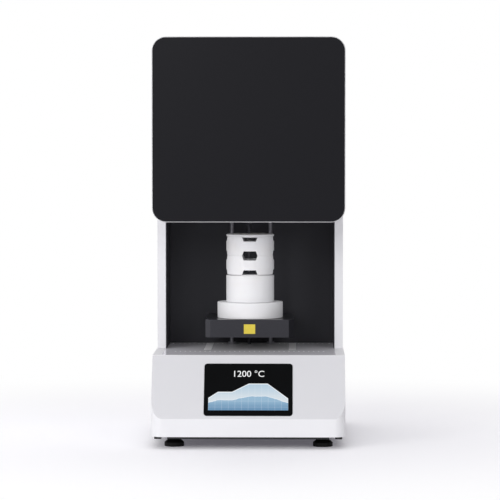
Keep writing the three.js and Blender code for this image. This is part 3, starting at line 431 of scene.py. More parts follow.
foot_rubber = moulded(
    "foot_rubber", shade(8, 8, 9), roughness=0.5, grain=1400, depth=0.00003, specular=0.15
)
bright_steel = steel(
    "bright_steel", shade(205, 206, 210), roughness=0.1, grain=900, depth=0.000004, squeeze=(1, 1, 0.05)
)
foot_round = 0.0012
foot_lip = 0.0007
foot_shoulder_height = 0.0086
foot_neck_height = 0.0142
foot_neck_radius = 0.01
foot_sole_round = 0.0008
foot_gap = 0.0004
foot_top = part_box("base_tray")[0].z - foot_gap
stud_radius = 0.004
stud_pitch = 0.00125
stud_depth = 0.0006

for end in ("front_left", "front_right", "rear_left", "rear_right"):
    low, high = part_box(f"foot_{end}")
    x, y = (low.x + high.x) / 2, (low.y + high.y) / 2
    pad_radius = (high.x - low.x) / 2 + foot_lip
    pad = lathe(
        [
            (0, 0, 0),
            (pad_radius, 0, foot_sole_round),
            (pad_radius, foot_shoulder_height - foot_round, foot_round),
            (foot_neck_radius, foot_neck_height, foot_round),
            (foot_neck_radius, foot_top, foot_round / 3),
            (0, foot_top, 0),
        ],
        x,
        y,
    )
    body = f"levelling_foot_{end}"
    fit(eased(pad), f"foot_pad_{end}", body, "foot_rubber", foot_rubber, f"foot_{end}")
    stud = threaded(stud_radius, stud_depth, stud_pitch, foot_top, high.z, x, y)
    fit(eased(stud), f"foot_stud_{end}", body, "plain_steel", bright_steel)

# Base tray. A pressed steel pan with a flange inside the cover and two short skids at the front
# corners, baked black.
tray_pressing_edge = 0.0005


def enamel(name, colour, roughness, peel_depth, specular=0.5):
    """Baked enamel on sheet: an even coat with a fine orange peel and a slight change of shine."""
    finish = Finish(bpy.data.materials.new(name))
    cloud = finish.noise(scale=7, detail=4)
    return finish.surface(
        Base_Color=finish.mix(cloud, colour, toned(colour, share=0.96)),
        Roughness=cloud * 0.06 + roughness,
        Specular_IOR_Level=specular,
        Normal=finish.bump(finish.noise(scale=650, detail=2), peel_depth),
    )


def refined(node, width, segments=2):
    """A CAD piece's own shape, with its facets merged and its edges rounded off."""
    shape = bmesh.new()
    shape.from_mesh(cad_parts[node].data)
    bmesh.ops.remove_doubles(shape, verts=shape.verts, dist=merge_reach)
    bmesh.ops.dissolve_limit(shape, angle_limit=flat_angle, verts=shape.verts, edges=shape.edges)
    return eased(solid(shape), width, segments)


black_enamel = enamel("black_enamel", shade(30, 31, 34), roughness=0.42, peel_depth=0.00002)
tray_pressing = refined("base_tray", tray_pressing_edge)
fit(tray_pressing, "tray_pressing", "cabinet", "black_enamel", black_enamel, "base_tray")

# Base cover. A folded steel cover in white enamel: two round front corners, a console face that
# slopes back to the ledge, a recess for the glass, and an opening with a ledge for the deck.
base_wall = 0.003
base_top_wall = 0.006
console_lip = 0.033
console_run = 0.07
base_corner = 0.022
fold_round = 0.003
edge_round = 0.0008
deck_gap = 0.0003
deck_ledge = 0.008
cut_past = 0.002


def prism(points, low, high, axis="z"):
    """A solid with one outline all the way along an axis."""
    place = {
        "x": lambda across, up, along: (along, across, up),
        "y": lambda across, up, along: (across, along, up),
        "z": lambda across, up, along: (across, up, along),
    }[axis]
    shape = bmesh.new()
    ends = [[shape.verts.new(place(*point, along)) for point in points] for along in (low, high)]
    shape.faces.new(ends[0])
    shape.faces.new(ends[1])
    for index in range(len(points)):
        after = (index + 1) % len(points)
        shape.faces.new([ends[0][index], ends[0][after], ends[1][after], ends[1][index]])
    return solid(shape)


def rounded(width, height, radius, x=0.0, y=0.0):
    """A rectangle with round corners about a point."""
    across, up = width / 2, height / 2
    corners = [(-across, -up), (across, -up), (across, up), (-across, up)]
    return outline([(x + u, y + v, radius) for u, v in corners])


def block(low, high):
    """A plain block between two corners, to cut with or to be cut."""
    corners = [(low[0], low[1]), (high[0], low[1]), (high[0], high[1]), (low[0], high[1])]
    return prism(corners, low[2], high[2])


def turned(bore, rim, low, high, rounds=(0, 0, 0, 0), x=0.0, y=0.0, steps=round_steps):
    """A disc or ring about an upright axis, with a round for each corner of its section."""
    corners = [(bore, low), (rim, low), (rim, high), (bore, high)]
    return lathe([(*corner, radius) for corner, radius in zip(corners, rounds)], x, y, steps)


def carve(first, join=(), meet=(), cut=()):
    """One solid joined with some shapes, kept where it meets others, and cut by others again."""
    for operation, shapes in (("UNION", join), ("INTERSECT", meet), ("DIFFERENCE", cut)):
        for shape in shapes:
            step = first.modifiers.new("carve", "BOOLEAN")
            step.operation = operation
            step.solver = "EXACT"
            step.object = shape
    fixed(first)
    for shape in (*join, *meet, *cut):
        bpy.data.objects.remove(shape)
    shape = bmesh.new()
    shape.from_mesh(first.data)
    bmesh.ops.remove_doubles(shape, verts=shape.verts, dist=merge_reach)
    bmesh.ops.dissolve_limit(shape, angle_limit=flat_angle, verts=shape.verts, edges=shape.edges)
    shape.to_mesh(first.data)
    shape.free()
    return first


def placed(made, place):
    """The object's mesh moved to a place, with the object itself left at the origin."""
    made.data.transform(place)
    return made


white_enamel = enamel("white_enamel", shade(231, 231, 234), roughness=0.38, peel_depth=0.000018)
# A slightly darker copy of the white enamel for the console's sloped face: painted shade on the slope.
console_painted_shade = enamel("console_enamel_painted_shade", shade(216, 216, 220), roughness=0.4, peel_depth=0.000018)
cover_low, cover_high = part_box("base_cover")
deck_low, deck_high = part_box("deck_plate")
base_half = cover_high.x
base_front, base_rear = cover_low.y, cover_high.y
knee_height = cover_low.z + console_lip
console_angle = math.atan2(cover_high.z - knee_height, console_run)
console = Matrix.Translation((0, base_front, knee_height)) @ Matrix.Rotation(console_angle, 4, "X")


def base_plan(inset, past):
    """The base's outline from above, moved in by its wall."""
    return outline([
        (-base_half + inset, base_rear + past, 0),
        (-base_half + inset, base_front + inset, base_corner - inset),
        (base_half - inset, base_front + inset, base_corner - inset),
        (base_half - inset, base_rear + past, 0),
    ])


def base_side(inset, top_inset, past, radius):
    """The base's outline from the side, moved in by its wall."""
    along_y, along_z = math.cos(console_angle), math.sin(console_angle)
    start_y, start_z = base_front + along_z * inset, knee_height - along_y * inset
    top = cover_high.z - top_inset
    knee = start_z + (base_front + inset - start_y) / along_y * along_z
    return outline([
        (base_front + inset, cover_low.z - past, 0),
        (base_front + inset, knee, radius),
        (start_y + (top - start_z) / along_z * along_y, top, radius),
        (base_rear + past, top, 0),
        (base_rear + past, cover_low.z - past, 0),
    ])


glass_width = 0.1644
glass_height = 0.1078
glass_corner = 0.006
glass_start = 0.0072
glass_centre = glass_start + glass_height / 2
glass_gap = 0.0003
glass_recess = 0.0015
glass_border = 0.005
deck_opening_low = (deck_low.x - deck_gap, deck_low.y - deck_gap, deck_low.z - deck_gap)
deck_opening_high = (deck_high.x + deck_gap, deck_high.y + deck_gap, deck_high.z + cut_past)
cable_opening_half = 0.06
cable_opening_rear = 0.194
cable_opening_gap = 0.008
cable_opening_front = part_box("bay_back_wall")[1].y + cable_opening_gap
console_likeness = 0.999
pocket_radius = 0.0034
pocket_depth = 0.0009
side_screw_rows = (-0.15, 0.02, 0.19)
base_screw_rise = 0.012
base_screw_places = [(y, cover_low.z + base_screw_rise) for y in side_screw_rows]


def side_pockets(places):
    """A shallow round pocket in both sides at each place, for a sunk screw."""
    pockets = []
    for y, z in places:
        for sign in (-1, 1):
            outwards = Matrix.Rotation(sign * math.pi / 2, 4, "Y")
            pocket = turned(0, pocket_radius, -pocket_depth, cut_past, steps=32)
            pockets.append(placed(pocket, Matrix.Translation((sign * base_half, y, z)) @ outwards))
    return pockets


def cable_opening(low, high):
    """A cutter for the opening behind the bay that the cables pass through."""
    near = (-cable_opening_half, cable_opening_front, low)
    return block(near, (cable_opening_half, cable_opening_rear, high))


inner = carve(
    prism(base_plan(base_wall, cut_past), cover_low.z - cut_past, cover_high.z),
    meet=[prism(base_side(base_wall, base_top_wall, cut_past, 0), -base_half, base_half, "x")],
)
recess = prism(
    rounded(glass_width + 2 * glass_gap, glass_height + 2 * glass_gap, glass_corner, 0, glass_centre),
    -glass_recess,
    cut_past,
)
window = prism(
    rounded(glass_width - 2 * glass_border, glass_height - 2 * glass_border, glass_corner, 0, glass_centre),
    -3 * base_wall,
    cut_past,
)
base_shell = carve(
    prism(base_plan(0, 0), cover_low.z, cover_high.z),
    meet=[prism(base_side(0, 0, 0, fold_round), -base_half - cut_past, base_half + cut_past, "x")],
    cut=[
        inner,
        block(deck_opening_low, deck_opening_high),
        block(
            (deck_low.x + deck_ledge, deck_low.y + deck_ledge, deck_low.z - base_top_wall),
            (deck_high.x - deck_ledge, deck_high.y - deck_ledge, deck_high.z),
        ),
        cable_opening(deck_low.z - base_top_wall, deck_high.z + cut_past),
        placed(recess, console),
        placed(window, console),
        *side_pockets(base_screw_places),
    ],
)
base_shell = eased(base_shell, edge_round)
fit(base_shell, "base_shell", "cabinet", "white_enamel", white_enamel, "base_cover")
# Faces in the console's plane take the darker copy of the enamel: painted shade on the slope.
base_shell.data.materials.append(console_painted_shade)
console_facing = console.to_3x3() @ Vector((0, 0, 1))
for face in base_shell.data.polygons:
    face.material_index = int(face.normal.dot(console_facing) > console_likeness)

# Skid pads. A thin moulded rubber strip with rounded corners under each of the two skids at the
# tray's front corners.
skid_width = 0.013
skid_length = 0.048
skid_edge = 0.174
skid_front = -0.21
skid_under = 0.0185
skid_pad = 0.0014
skid_corner = 0.003
skid_round = 0.0004
for side, sign in (("left", -1), ("right", 1)):
    pad_x = sign * (skid_edge - skid_width / 2)
    strip = rounded(skid_width, skid_length, skid_corner, pad_x, skid_front + skid_length / 2)
    pad = prism(strip, skid_under - skid_pad, skid_under)
    fit(eased(pad, skid_round), f"skid_pad_{side}", "cabinet", "foot_rubber", foot_rubber)

# Display. A toughened black glass with ground edges, in the console's recess and a little proud.
# The screen behind it shows a firing curve as a filled chart, with the holding temperature above.
glass_proud = 0.0007
glass_edge = 0.0005
screen_half = 0.074
screen_low = 0.0183
chart_floor = 0.043
chart_dwell = 0.0555
chart_hold = 0.0725
fill_start = chart_floor * 0.7
chart_grid = 0.0123
chart_line = 0.0008
chart_rule = 0.0005
rule_strength = 0.35
first_slope = 0.7
second_slope = 0.55
second_start = 0.03
fall_slope = 0.8
fall_end = 0.042
power_share = 0.45
power_floor = 0.0125
power_ripple = 0.004
digit_share = 0.7
digit_height = 0.0125
digit_base = 0.0875
digit_depth = 0.00004
digit_ink = (0.02, 0.02, 0.02, 1)
glass_blacks = (shade(7, 8, 9), shade(10, 11, 13))
fill_blues = (shade(226, 233, 238), shade(190, 212, 228))
power_blues = (shade(112, 152, 186), shade(156, 190, 215))
rule_white = shade(238, 244, 249)
curve_white = shade(246, 250, 253)
screen_light = 0.95
display_unit_edge = 0.001


def display_finish():
    """Black glass that glows where the chart is: a blue area under a white curve, and fine rules."""
    finish = Finish(bpy.data.materials.new("display_glass"))
    local = finish.place(location=console.translation, rotation=(console_angle, 0, 0))
    across, up, out = finish.axes(local)
    first_rise = (across + screen_half) * first_slope + chart_floor
    second_rise = (across + second_start) * second_slope + chart_dwell
    fall = (screen_half - across) * fall_slope + fall_end
    curve = first_rise.lesser(chart_dwell).greater(second_rise).lesser(fall).lesser(chart_hold)
    ripple = finish.noise(scale=90, detail=3, place=finish.place(scale=(1, 9, 9))) * power_ripple
    power = curve * power_share + power_floor + ripple
    lines = (abs(up - curve) < chart_line).greater(abs(up - power) < chart_line / 2)
    upright = ((across + screen_half) % chart_grid) < chart_rule
    rules = upright.greater((up % chart_grid) < chart_rule)
    inside = (abs(across) < screen_half) * (up > screen_low) * (up < curve + chart_line) * (out > 0)
    fill = finish.mix(up.between(fill_start, chart_hold), *fill_blues)
    lower = finish.mix(up.between(screen_low, chart_floor), *power_blues)
    drawn = finish.mix(up < power, fill, lower)
    ruled = finish.mix(rules * rule_strength, drawn, rule_white)
    chart = finish.mix(lines, ruled, curve_white)
    smear = finish.noise(scale=30, detail=3)
    return finish.surface(
        Base_Color=finish.mix(smear, *glass_blacks),
        Roughness=smear * 0.05 + 0.04,
        Specular_IOR_Level=0.06,
        Emission_Color=finish.mix(inside, no_light, chart),
        Emission_Strength=screen_light,
    )


display_black = display_finish()
glass = prism(
    rounded(glass_width, glass_height, glass_corner, 0, glass_centre),
    glass_gap - glass_recess,
    glass_proud,
)
glass = eased(placed(glass, console), glass_edge)
fit(glass, "console_glass", "cabinet", "display_glass", display_black, "display_glass")

black_plastic = moulded("black_plastic", shade(26, 26, 28), roughness=0.42, grain=1100, depth=0.00003)
unit = refined("display_unit", display_unit_edge)
fit(unit, "display_module", "cabinet", "black_plastic", black_plastic, "display_unit")


def lettering(words, height, depth, place):
    """Plain digits as a thin solid, on a face that a matrix gives."""
    curve = bpy.data.curves.new("digits", "FONT")
    curve.body = words
    curve.size = height / digit_share
    curve.align_x = "CENTER"
    curve.extrude = depth
    source = bpy.data.objects.new("digits", curve)
    bpy.context.scene.collection.objects.link(source)
    state = bpy.context.evaluated_depsgraph_get()
    mesh = bpy.data.meshes.new_from_object(source.evaluated_get(state))
    bpy.data.objects.remove(source)
    shape = bmesh.new()
    shape.from_mesh(mesh)
    made = solid(shape)
    return placed(made, place)


def lit_print(name, colour, strength):
    """Lit digits: a white glow with a slight unevenness."""
    finish = Finish(bpy.data.materials.new(name))
    cloud = finish.noise(scale=120, detail=2)
    return finish.surface(
        Base_Color=digit_ink,
        Roughness=cloud * 0.1 + 0.3,
        Emission_Color=finish.mix(cloud, colour, toned(colour, share=0.9)),
        Emission_Strength=strength,
    )


readout_place = console @ Matrix.Translation((0, digit_base, glass_proud))
readout = lettering("1200 \u00b0C", digit_height, digit_depth, readout_place)
lit_digits = lit_print("lit_digits", shade(250, 251, 252), strength=1.0)
fit(readout, "display_readout", "cabinet", "display_glass", lit_digits)

# Deck. A glossy grey glass-ceramic plate on the base's ledge, with two inset landing strips, a row
# of small studs ahead of the lift, a row behind it, and a screw in each rear corner.
stud_row_half = 0.141
stud_count = 31
front_row = -0.0707
rear_row = 0.118
corner_screw_x = 0.1546
deck_stud_radius = 0.0014
deck_stud_rise = 0.0007
deck_stud_seat = deck_stud_rise / 4
deck_screw_radius = 0.0024
deck_screw_rise = 0.0011
deck_screw_seat = deck_screw_rise / 5
deck_edge = 0.0004
strip_edge = 0.0003
button_shoulder = (0.95, 0.6, 0.25)
button_socket_floor = 0.35
deck_greys = (shade(208, 207, 217), shade(214, 213, 223))
deck_fleck = shade(190, 190, 197)


def set_out_tree():
    """Geometry Nodes that set a shape out at points, its Z along one way, each by a chance turn."""
    tree = bpy.data.node_groups.new("set_out", "GeometryNodeTree")
    sockets = [
        ("Points", "NodeSocketGeometry"),
        ("Shape", "NodeSocketObject"),
        ("Facing", "NodeSocketVector"),
        ("Most Turn", "NodeSocketFloat"),
        ("Seed", "NodeSocketInt"),
        ("Finish", "NodeSocketMaterial"),
    ]
    for name, kind in sockets:
        tree.interface.new_socket(name=name, in_out="INPUT", socket_type=kind)
    tree.interface.new_socket(name="Copies", in_out="OUTPUT", socket_type="NodeSocketGeometry")
    given = tree.nodes.new("NodeGroupInput")
    result = tree.nodes.new("NodeGroupOutput")
    shape = tree.nodes.new("GeometryNodeObjectInfo")
    turn = tree.nodes.new("FunctionNodeRandomValue")
    spin = tree.nodes.new("FunctionNodeAxisAngleToRotation")
    aim = tree.nodes.new("FunctionNodeAlignRotationToVector")
    copies = tree.nodes.new("GeometryNodeInstanceOnPoints")
    real = tree.nodes.new("GeometryNodeRealizeInstances")
    coat = tree.nodes.new("GeometryNodeSetMaterial")
    turn.data_type = "FLOAT"
    aim.axis = "Z"
    link = tree.links.new
    link(given.outputs["Shape"], shape.inputs["Object"])
    link(given.outputs["Most Turn"], turn.inputs[3])
    link(given.outputs["Seed"], turn.inputs["Seed"])
    link(turn.outputs[1], spin.inputs["Angle"])
    link(spin.outputs[0], aim.inputs["Rotation"])
    link(given.outputs["Facing"], aim.inputs["Vector"])
    link(given.outputs["Points"], copies.inputs["Points"])
    link(shape.outputs["Geometry"], copies.inputs["Instance"])
    link(aim.outputs[0], copies.inputs["Rotation"])
    link(copies.outputs[0], real.inputs[0])
    link(real.outputs[0], coat.inputs[0])
    link(given.outputs["Finish"], coat.inputs["Material"])
    link(coat.outputs[0], result.inputs[0])
    return tree


set_out_nodes = set_out_tree()


def set_out(shape, points, facing, finish, most_turn=0.0, seed=1):
    """Copies of a small shape at points, as one plain mesh."""
    mesh = bpy.data.meshes.new("places")
    mesh.from_pydata([tuple(point) for point in points], [], [])
    made = bpy.data.objects.new("copies", mesh)
    bpy.context.scene.collection.objects.link(made)
    step = made.modifiers.new("set_out", "NODES")
    step.node_group = set_out_nodes
    values = {"Shape": shape, "Facing": facing, "Most Turn": most_turn, "Seed": seed, "Finish": finish}
    for socket in set_out_nodes.interface.items_tree:
        if socket.name in values:
            step[socket.identifier] = values[socket.name]
    fixed(made)
    bpy.data.objects.remove(shape)
    return made


def button_head(radius, rise, socket=0.5):
    """A low domed screw head with a hexagon socket, or a plain dome without one."""
    out, up, bend = button_shoulder
    shoulder = (radius * out, rise * up, rise * bend)
    head = lathe([(0, 0, 0), (radius, 0, 0), shoulder, (0, rise, 0)], steps=24)
    if socket == 0:
        return eased(head)
    hexagon = [about(0, 0, radius * socket, side * math.pi / 3) for side in range(6)]
    return eased(carve(head, cut=[prism(hexagon, rise * button_socket_floor, rise * 2)]))


def deck_finish():
    """Grey glass-ceramic: a smooth shine and a faint haze over a fine fleck."""
    finish = Finish(bpy.data.materials.new("deck_gloss"))
    fleck = finish.noise(scale=1500, detail=2)
    cloud = finish.noise(scale=5, detail=3)
    tone = finish.mix(cloud, *deck_greys)
    return finish.surface(
        Base_Color=finish.mix(fleck.between(low=0.55, high=0.75), tone, deck_fleck),
        Roughness=cloud * 0.04 + 0.06,
        Specular_IOR_Level=0.2,
        Sheen_Weight=0.24,
        Sheen_Roughness=0.35,
        Normal=finish.bump(fleck, depth=0.000004),
    )


deck_gloss = deck_finish()
strip_steel = steel(
    "strip_steel",
    shade(228, 228, 232),
    roughness=0.34,
    grain=500,
    depth=0.000006,
    squeeze=(1, 0.04, 1),
    metallic=0.2,
    haze=0.28,
)
stud_steel = steel(
    "stud_steel",
    shade(246, 246, 248),
    roughness=0.4,
    grain=900,
    depth=0.000004,
    squeeze=(1, 1, 0.05),
    metallic=0.2,
)
deck_glass = refined("deck_plate", deck_edge)
fit(deck_glass, "deck_glass", "cabinet", "deck_gloss", deck_gloss, "deck_plate")
for side in ("left", "right"):
    strip = refined(f"landing_strip_{side}", strip_edge)
    fit(strip, f"deck_strip_{side}", "cabinet", "landing_strip", strip_steel, f"landing_strip_{side}")

row_step = 2 * stud_row_half / (stud_count - 1)
strip_boxes = [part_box("landing_strip_left"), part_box("landing_strip_right")]
row_places = []
for row in (front_row, rear_row):
    for index in range(stud_count):
        x = -stud_row_half + index * row_step
        over_strip = any(
            low.x - deck_stud_radius < x < high.x + deck_stud_radius and row > low.y
            for low, high in strip_boxes
        )
        over_rod = row > 0 and abs(x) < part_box("rod_foot_right")[1].x + deck_stud_radius
        if not over_strip and not over_rod:
            row_places.append((x, row, deck_high.z - deck_stud_seat))
studs = set_out(button_head(deck_stud_radius, deck_stud_rise, socket=0), row_places, (0, 0, 1), stud_steel)
fit(studs, "deck_studs", "cabinet", "polished_steel", stud_steel)
corner_places = [(sign * corner_screw_x, rear_row, deck_high.z - deck_screw_seat) for sign in (-1, 1)]
corner_head = button_head(deck_screw_radius, deck_screw_rise)
corner_screws = set_out(corner_head, corner_places, (0, 0, 1), stud_steel, math.tau, seed=3)
fit(corner_screws, "deck_screws", "cabinet", "polished_steel", stud_steel)

# Columns. Two folded sheet columns in white enamel, cut at the top to the head's round corners,
# with a black liner on each inner side and a black wall behind the bay.
column_round = 0.0013
liner_edge = 0.0003
bay_wall_edge = 0.0004
bay_enamel = enamel("bay_enamel", shade(64, 64, 69), roughness=0.5, peel_depth=0.000018, specular=0.15)
for side in ("left", "right"):
    column = refined(f"column_{side}", column_round, segments=3)
    fit(column, f"column_{side}_fold", "cabinet", "white_enamel", white_enamel, f"column_{side}")
    liner = refined(f"bay_liner_{side}", liner_edge)
    fit(liner, f"bay_liner_{side}_sheet", "cabinet", "black_enamel", bay_enamel, f"bay_liner_{side}")
back_wall = refined("bay_back_wall", bay_wall_edge)
fit(back_wall, "bay_wall_sheet", "cabinet", "black_enamel", bay_enamel, "bay_back_wall")

# Guide rods and lead screw. Ground and chromed rods in grey collars, held by a bar under the
# deck and a bridge in the head, and between them a screw with a trapezoidal thread.
rod_chamfer = 0.0008
collar_chamfer = 0.0006
screw_depth = 0.0011
screw_pitch = 0.004
cast_grain = 380
casting_round = 0.0012

collar_grey = moulded("collar_grey", shade(134, 133, 139), roughness=0.4, grain=1400, depth=0.00001)
chrome = steel(
    "chrome",
    shade(150, 149, 156),
    roughness=0.3,
    grain=1600,
    depth=0.000002,
    squeeze=(1, 1, 0.08),
    metallic=0.5,
)


def cast(name, colour, roughness):
    """Cast aluminium: a pebbled skin, a little darker in its hollows."""
    finish = Finish(bpy.data.materials.new(name))
    pebbles = finish.noise(cast_grain, detail=4)
    return finish.surface(
        Base_Color=finish.mix(pebbles.between(low=0.3, high=0.6), toned(colour, share=0.72), colour),
        Metallic=0.85,
        Roughness=pebbles * 0.15 + roughness,
        Normal=finish.bump(pebbles, depth=0.00005),
    )


cast_aluminium = cast("cast_aluminium", shade(176, 179, 183), roughness=0.34)
plain_steel = steel(
    "plain_steel", shade(160, 163, 168), roughness=0.32, grain=260, depth=0.00001, squeeze=(1, 1, 0.12)
)
for side in ("left", "right"):
    low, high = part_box(f"guide_rod_{side}")
    x, y, radius = (low.x + high.x) / 2, (low.y + high.y) / 2, (high.x - low.x) / 2
    rod = lathe(
        [
            (0, low.z, 0),
            (radius - rod_chamfer, low.z, 0),
            (radius, low.z + rod_chamfer, 0),
            (radius, high.z - rod_chamfer, 0),
            (radius - rod_chamfer, high.z, 0),
            (0, high.z, 0),
        ],
        x,
        y,
    )
    fit(eased(rod), f"rod_{side}_chromed", "cabinet", "polished_steel", chrome, f"guide_rod_{side}")
    foot_low, foot_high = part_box(f"rod_foot_{side}")
    rim = (foot_high.x - foot_low.x) / 2
    rounds = (0, collar_chamfer / 2, collar_chamfer, collar_chamfer / 2)
    collar = turned(radius + deck_gap, rim, foot_low.z, foot_high.z, rounds, x, y)
    fit(eased(collar), f"rod_collar_{side}", "cabinet", "black_enamel", collar_grey, f"rod_foot_{side}")

for node, name in (("rod_base_bar", "rod_base_casting"), ("rod_bridge", "rod_bridge_casting")):
    fit(refined(node, casting_round, segments=3), name, "cabinet", "cast_aluminium", cast_aluminium, node)

dark_steel = steel(
    "dark_steel",
    shade(104, 104, 110),
    roughness=0.36,
    grain=260,
    depth=0.00001,
    squeeze=(1, 1, 0.12),
    metallic=0.8,
)
screw_low, screw_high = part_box("lead_screw")
screw_x, screw_y = (screw_low.x + screw_high.x) / 2, (screw_low.y + screw_high.y) / 2
screw_radius = (screw_high.x - screw_low.x) / 2
lead_screw = threaded(
    screw_radius, screw_depth, screw_pitch, screw_low.z, screw_high.z, screw_x, screw_y, steps=24
)
fit(eased(lead_screw), "lead_screw_thread", "screw", "polished_steel", dark_steel, "lead_screw")

# Lift drive. A stepper motor in black enamel under a folded steel bracket, its shaft joined to the
# lead screw by an aluminium coupling with two clamping slits.
motor_edge = 0.0009
bracket_edge = 0.0007
coupling_slit = 0.0012
slit_heights = (0.28, 0.72)

motor_piece = refined("lift_motor", motor_edge, segments=3)
fit(motor_piece, "stepper_motor", "cabinet", "black_enamel", black_enamel, "lift_motor")
motor_angle = refined("motor_bracket", bracket_edge)
fit(motor_angle, "motor_angle", "cabinet", "plain_steel", plain_steel, "motor_bracket")
shaft_low, shaft_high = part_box("motor_shaft")
shaft_rounds = (0, collar_chamfer, collar_chamfer, 0)
shaft = turned(0, screw_radius, shaft_low.z, shaft_high.z, shaft_rounds, screw_x, screw_y)
fit(eased(shaft), "motor_spindle", "screw", "plain_steel", plain_steel, "motor_shaft")
coupling_low, coupling_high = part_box("shaft_coupling")
coupling_radius = (coupling_high.x - coupling_low.x) / 2
coupling = turned(
    screw_radius + deck_gap,
    coupling_radius,
    coupling_low.z,
    coupling_high.z,
    (collar_chamfer / 2, collar_chamfer, collar_chamfer, collar_chamfer / 2),
    screw_x,
    screw_y,
)
slits = []
for share in slit_heights:
    z = coupling_low.z + (coupling_high.z - coupling_low.z) * share
    slits.append(
        block(
            (screw_x + screw_radius / 2, screw_y - coupling_radius * 2, z - coupling_slit / 2),
            (screw_x + coupling_radius * 2, screw_y + coupling_radius * 2, z + coupling_slit / 2),
        )
    )
coupling = eased(carve(coupling, cut=slits))
fit(coupling, "coupling_sleeve", "screw", "cast_aluminium", cast_aluminium, "shaft_coupling")

# Lift platform. A dark casing with chamfered corners, closed below by a plate, with steel bushings
# for the rods and a brass nut on the screw. A plain yellow marker plate is stuck to its front.
lift_wall = 0.003
lift_chamfer = 0.0095
lift_edge = 0.0011
lift_plate_edge = 0.0005
bushing_gap = 0.0003
boss_wall = 0.002
nut_radius = 0.007
nut_flange_radius = 0.01
nut_flange_height = 0.003
marker_width = 0.024
marker_height = 0.0205
marker_round = 0.0022
marker_thickness = 0.0004
marker_centre_z = 0.2105
marker_rim = 0.0012
marker_edge = 0.00015
marker_yellows = (shade(232, 212, 74), shade(216, 194, 60))
marker_dark = shade(28, 27, 40)


def casing_finish(name, colour, roughness):
    """Dark metallic paint: fine bright flakes in a satin coat."""
    finish = Finish(bpy.data.materials.new(name))
    flakes = finish.noise(scale=2600, detail=1)
    cloud = finish.noise(scale=9, detail=3)
    return finish.surface(
        Base_Color=finish.mix(flakes.between(low=0.52, high=0.7), colour, toned(colour, share=1.35)),
        Metallic=0.75,
        Roughness=cloud * 0.08 + roughness,
        Coat_Weight=0.25,
        Coat_Roughness=0.15,
        Normal=finish.bump(flakes, depth=0.000003),
    )


dark_casing = casing_finish("dark_casing", shade(56, 56, 62), roughness=0.24)
case_low, case_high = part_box("lift_casing")
rod_x = (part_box("guide_rod_right")[0].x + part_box("guide_rod_right")[1].x) / 2
rod_y = screw_y
bushing_radius = (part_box("lift_bushing_right")[1].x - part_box("lift_bushing_right")[0].x) / 2
lift_bores = [(-rod_x, bushing_radius), (rod_x, bushing_radius), (screw_x, nut_radius)]


def casing_plan(inset):
    """The casing's outline from above, moved in by its wall."""
    half, front, back = case_high.x - inset, case_low.y + inset, case_high.y - inset
    return [
        (-half + lift_chamfer, front),
        (half - lift_chamfer, front),
        (half, front + lift_chamfer),
        (half, back - lift_chamfer),
        (half - lift_chamfer, back),
        (-half + lift_chamfer, back),
        (-half, back - lift_chamfer),
        (-half, front + lift_chamfer),
    ]


def bar(radius, low, high, x, y, steps=round_steps):
    """A round bar about an upright axis."""
    return turned(0, radius, low, high, x=x, y=y, steps=steps)


def lift_bars(wider, low, high):
    """Cutters for the two bushings and the nut, each a little wider than its piece."""
    return [bar(radius + wider, low, high, x, rod_y) for x, radius in lift_bores]


plate_low, plate_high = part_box("lift_bottom_plate")
casing_inner = carve(
    prism(casing_plan(lift_wall), case_low.z - cut_past, case_high.z - lift_wall),
    cut=lift_bars(boss_wall, plate_high.z + deck_gap, case_high.z),
)
casing = carve(
    prism(casing_plan(0), case_low.z, case_high.z),
    cut=[casing_inner, *lift_bars(bushing_gap, case_low.z - cut_past, case_high.z + cut_past)],
)
fit(eased(casing, lift_edge), "lift_body", "lift", "dark_casing", dark_casing, "lift_casing")
bottom_plate = carve(
    prism(casing_plan(lift_wall + bushing_gap), plate_low.z, plate_high.z),
    cut=lift_bars(bushing_gap, plate_low.z - cut_past, plate_high.z + cut_past),
)
bottom_plate = eased(bottom_plate, lift_plate_edge)
fit(bottom_plate, "lift_closing_plate", "lift", "dark_casing", dark_casing, "lift_bottom_plate")

for side in ("left", "right"):
    low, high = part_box(f"lift_bushing_{side}")
    bushing = turned(
        screw_radius + bushing_gap,
        bushing_radius,
        low.z,
        high.z,
        (collar_chamfer, collar_chamfer / 2, collar_chamfer / 2, collar_chamfer),
        (low.x + high.x) / 2,
        rod_y,
    )
    fit(eased(bushing), f"lift_bush_{side}", "lift", "plain_steel", plain_steel, f"lift_bushing_{side}")

nut_brass = steel(
    "nut_brass", shade(196, 160, 92), roughness=0.26, grain=300, depth=0.00001, squeeze=(1, 1, 0.1)
)
nut_low, nut_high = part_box("lead_nut")
nut = lathe(
    [
        (screw_radius + bushing_gap, nut_low.z, collar_chamfer / 2),
        (nut_radius, nut_low.z, collar_chamfer / 2),
        (nut_radius, nut_high.z - nut_flange_height, 0),
        (nut_flange_radius, nut_high.z - nut_flange_height, collar_chamfer / 2),
        (nut_flange_radius, nut_high.z, collar_chamfer),
        (screw_radius + bushing_gap, nut_high.z, collar_chamfer / 2),
    ],
    screw_x,
    screw_y,
)
fit(eased(nut), "lift_nut", "lift", "nut_brass", nut_brass, "lead_nut")


def marker_finish():
    """Yellow enamel plate with a dark rim, and a faint wash of wear."""
    finish = Finish(bpy.data.materials.new("yellow_marker"))
    across, _, up = finish.axes(finish.place(location=(0, 0, marker_centre_z)))
    beside = abs(across) > marker_width / 2 - marker_rim
    rim = beside.greater(abs(up) > marker_height / 2 - marker_rim)
    worn = finish.noise(scale=160, detail=4)
    yellow = finish.mix(worn, *marker_yellows)
    return finish.surface(
        Base_Color=finish.mix(rim, yellow, marker_dark),
        Roughness=worn * 0.15 + 0.35,
        Normal=finish.bump(worn, depth=0.00002),
    )


marker = prism(
    rounded(marker_width, marker_height, marker_round, 0, marker_centre_z),
    case_low.y - marker_thickness,
    case_low.y + marker_thickness / 4,
    "y",
)
fit(eased(marker, marker_edge, segments=2), "marker_plate", "lift", "dark_casing", marker_finish())

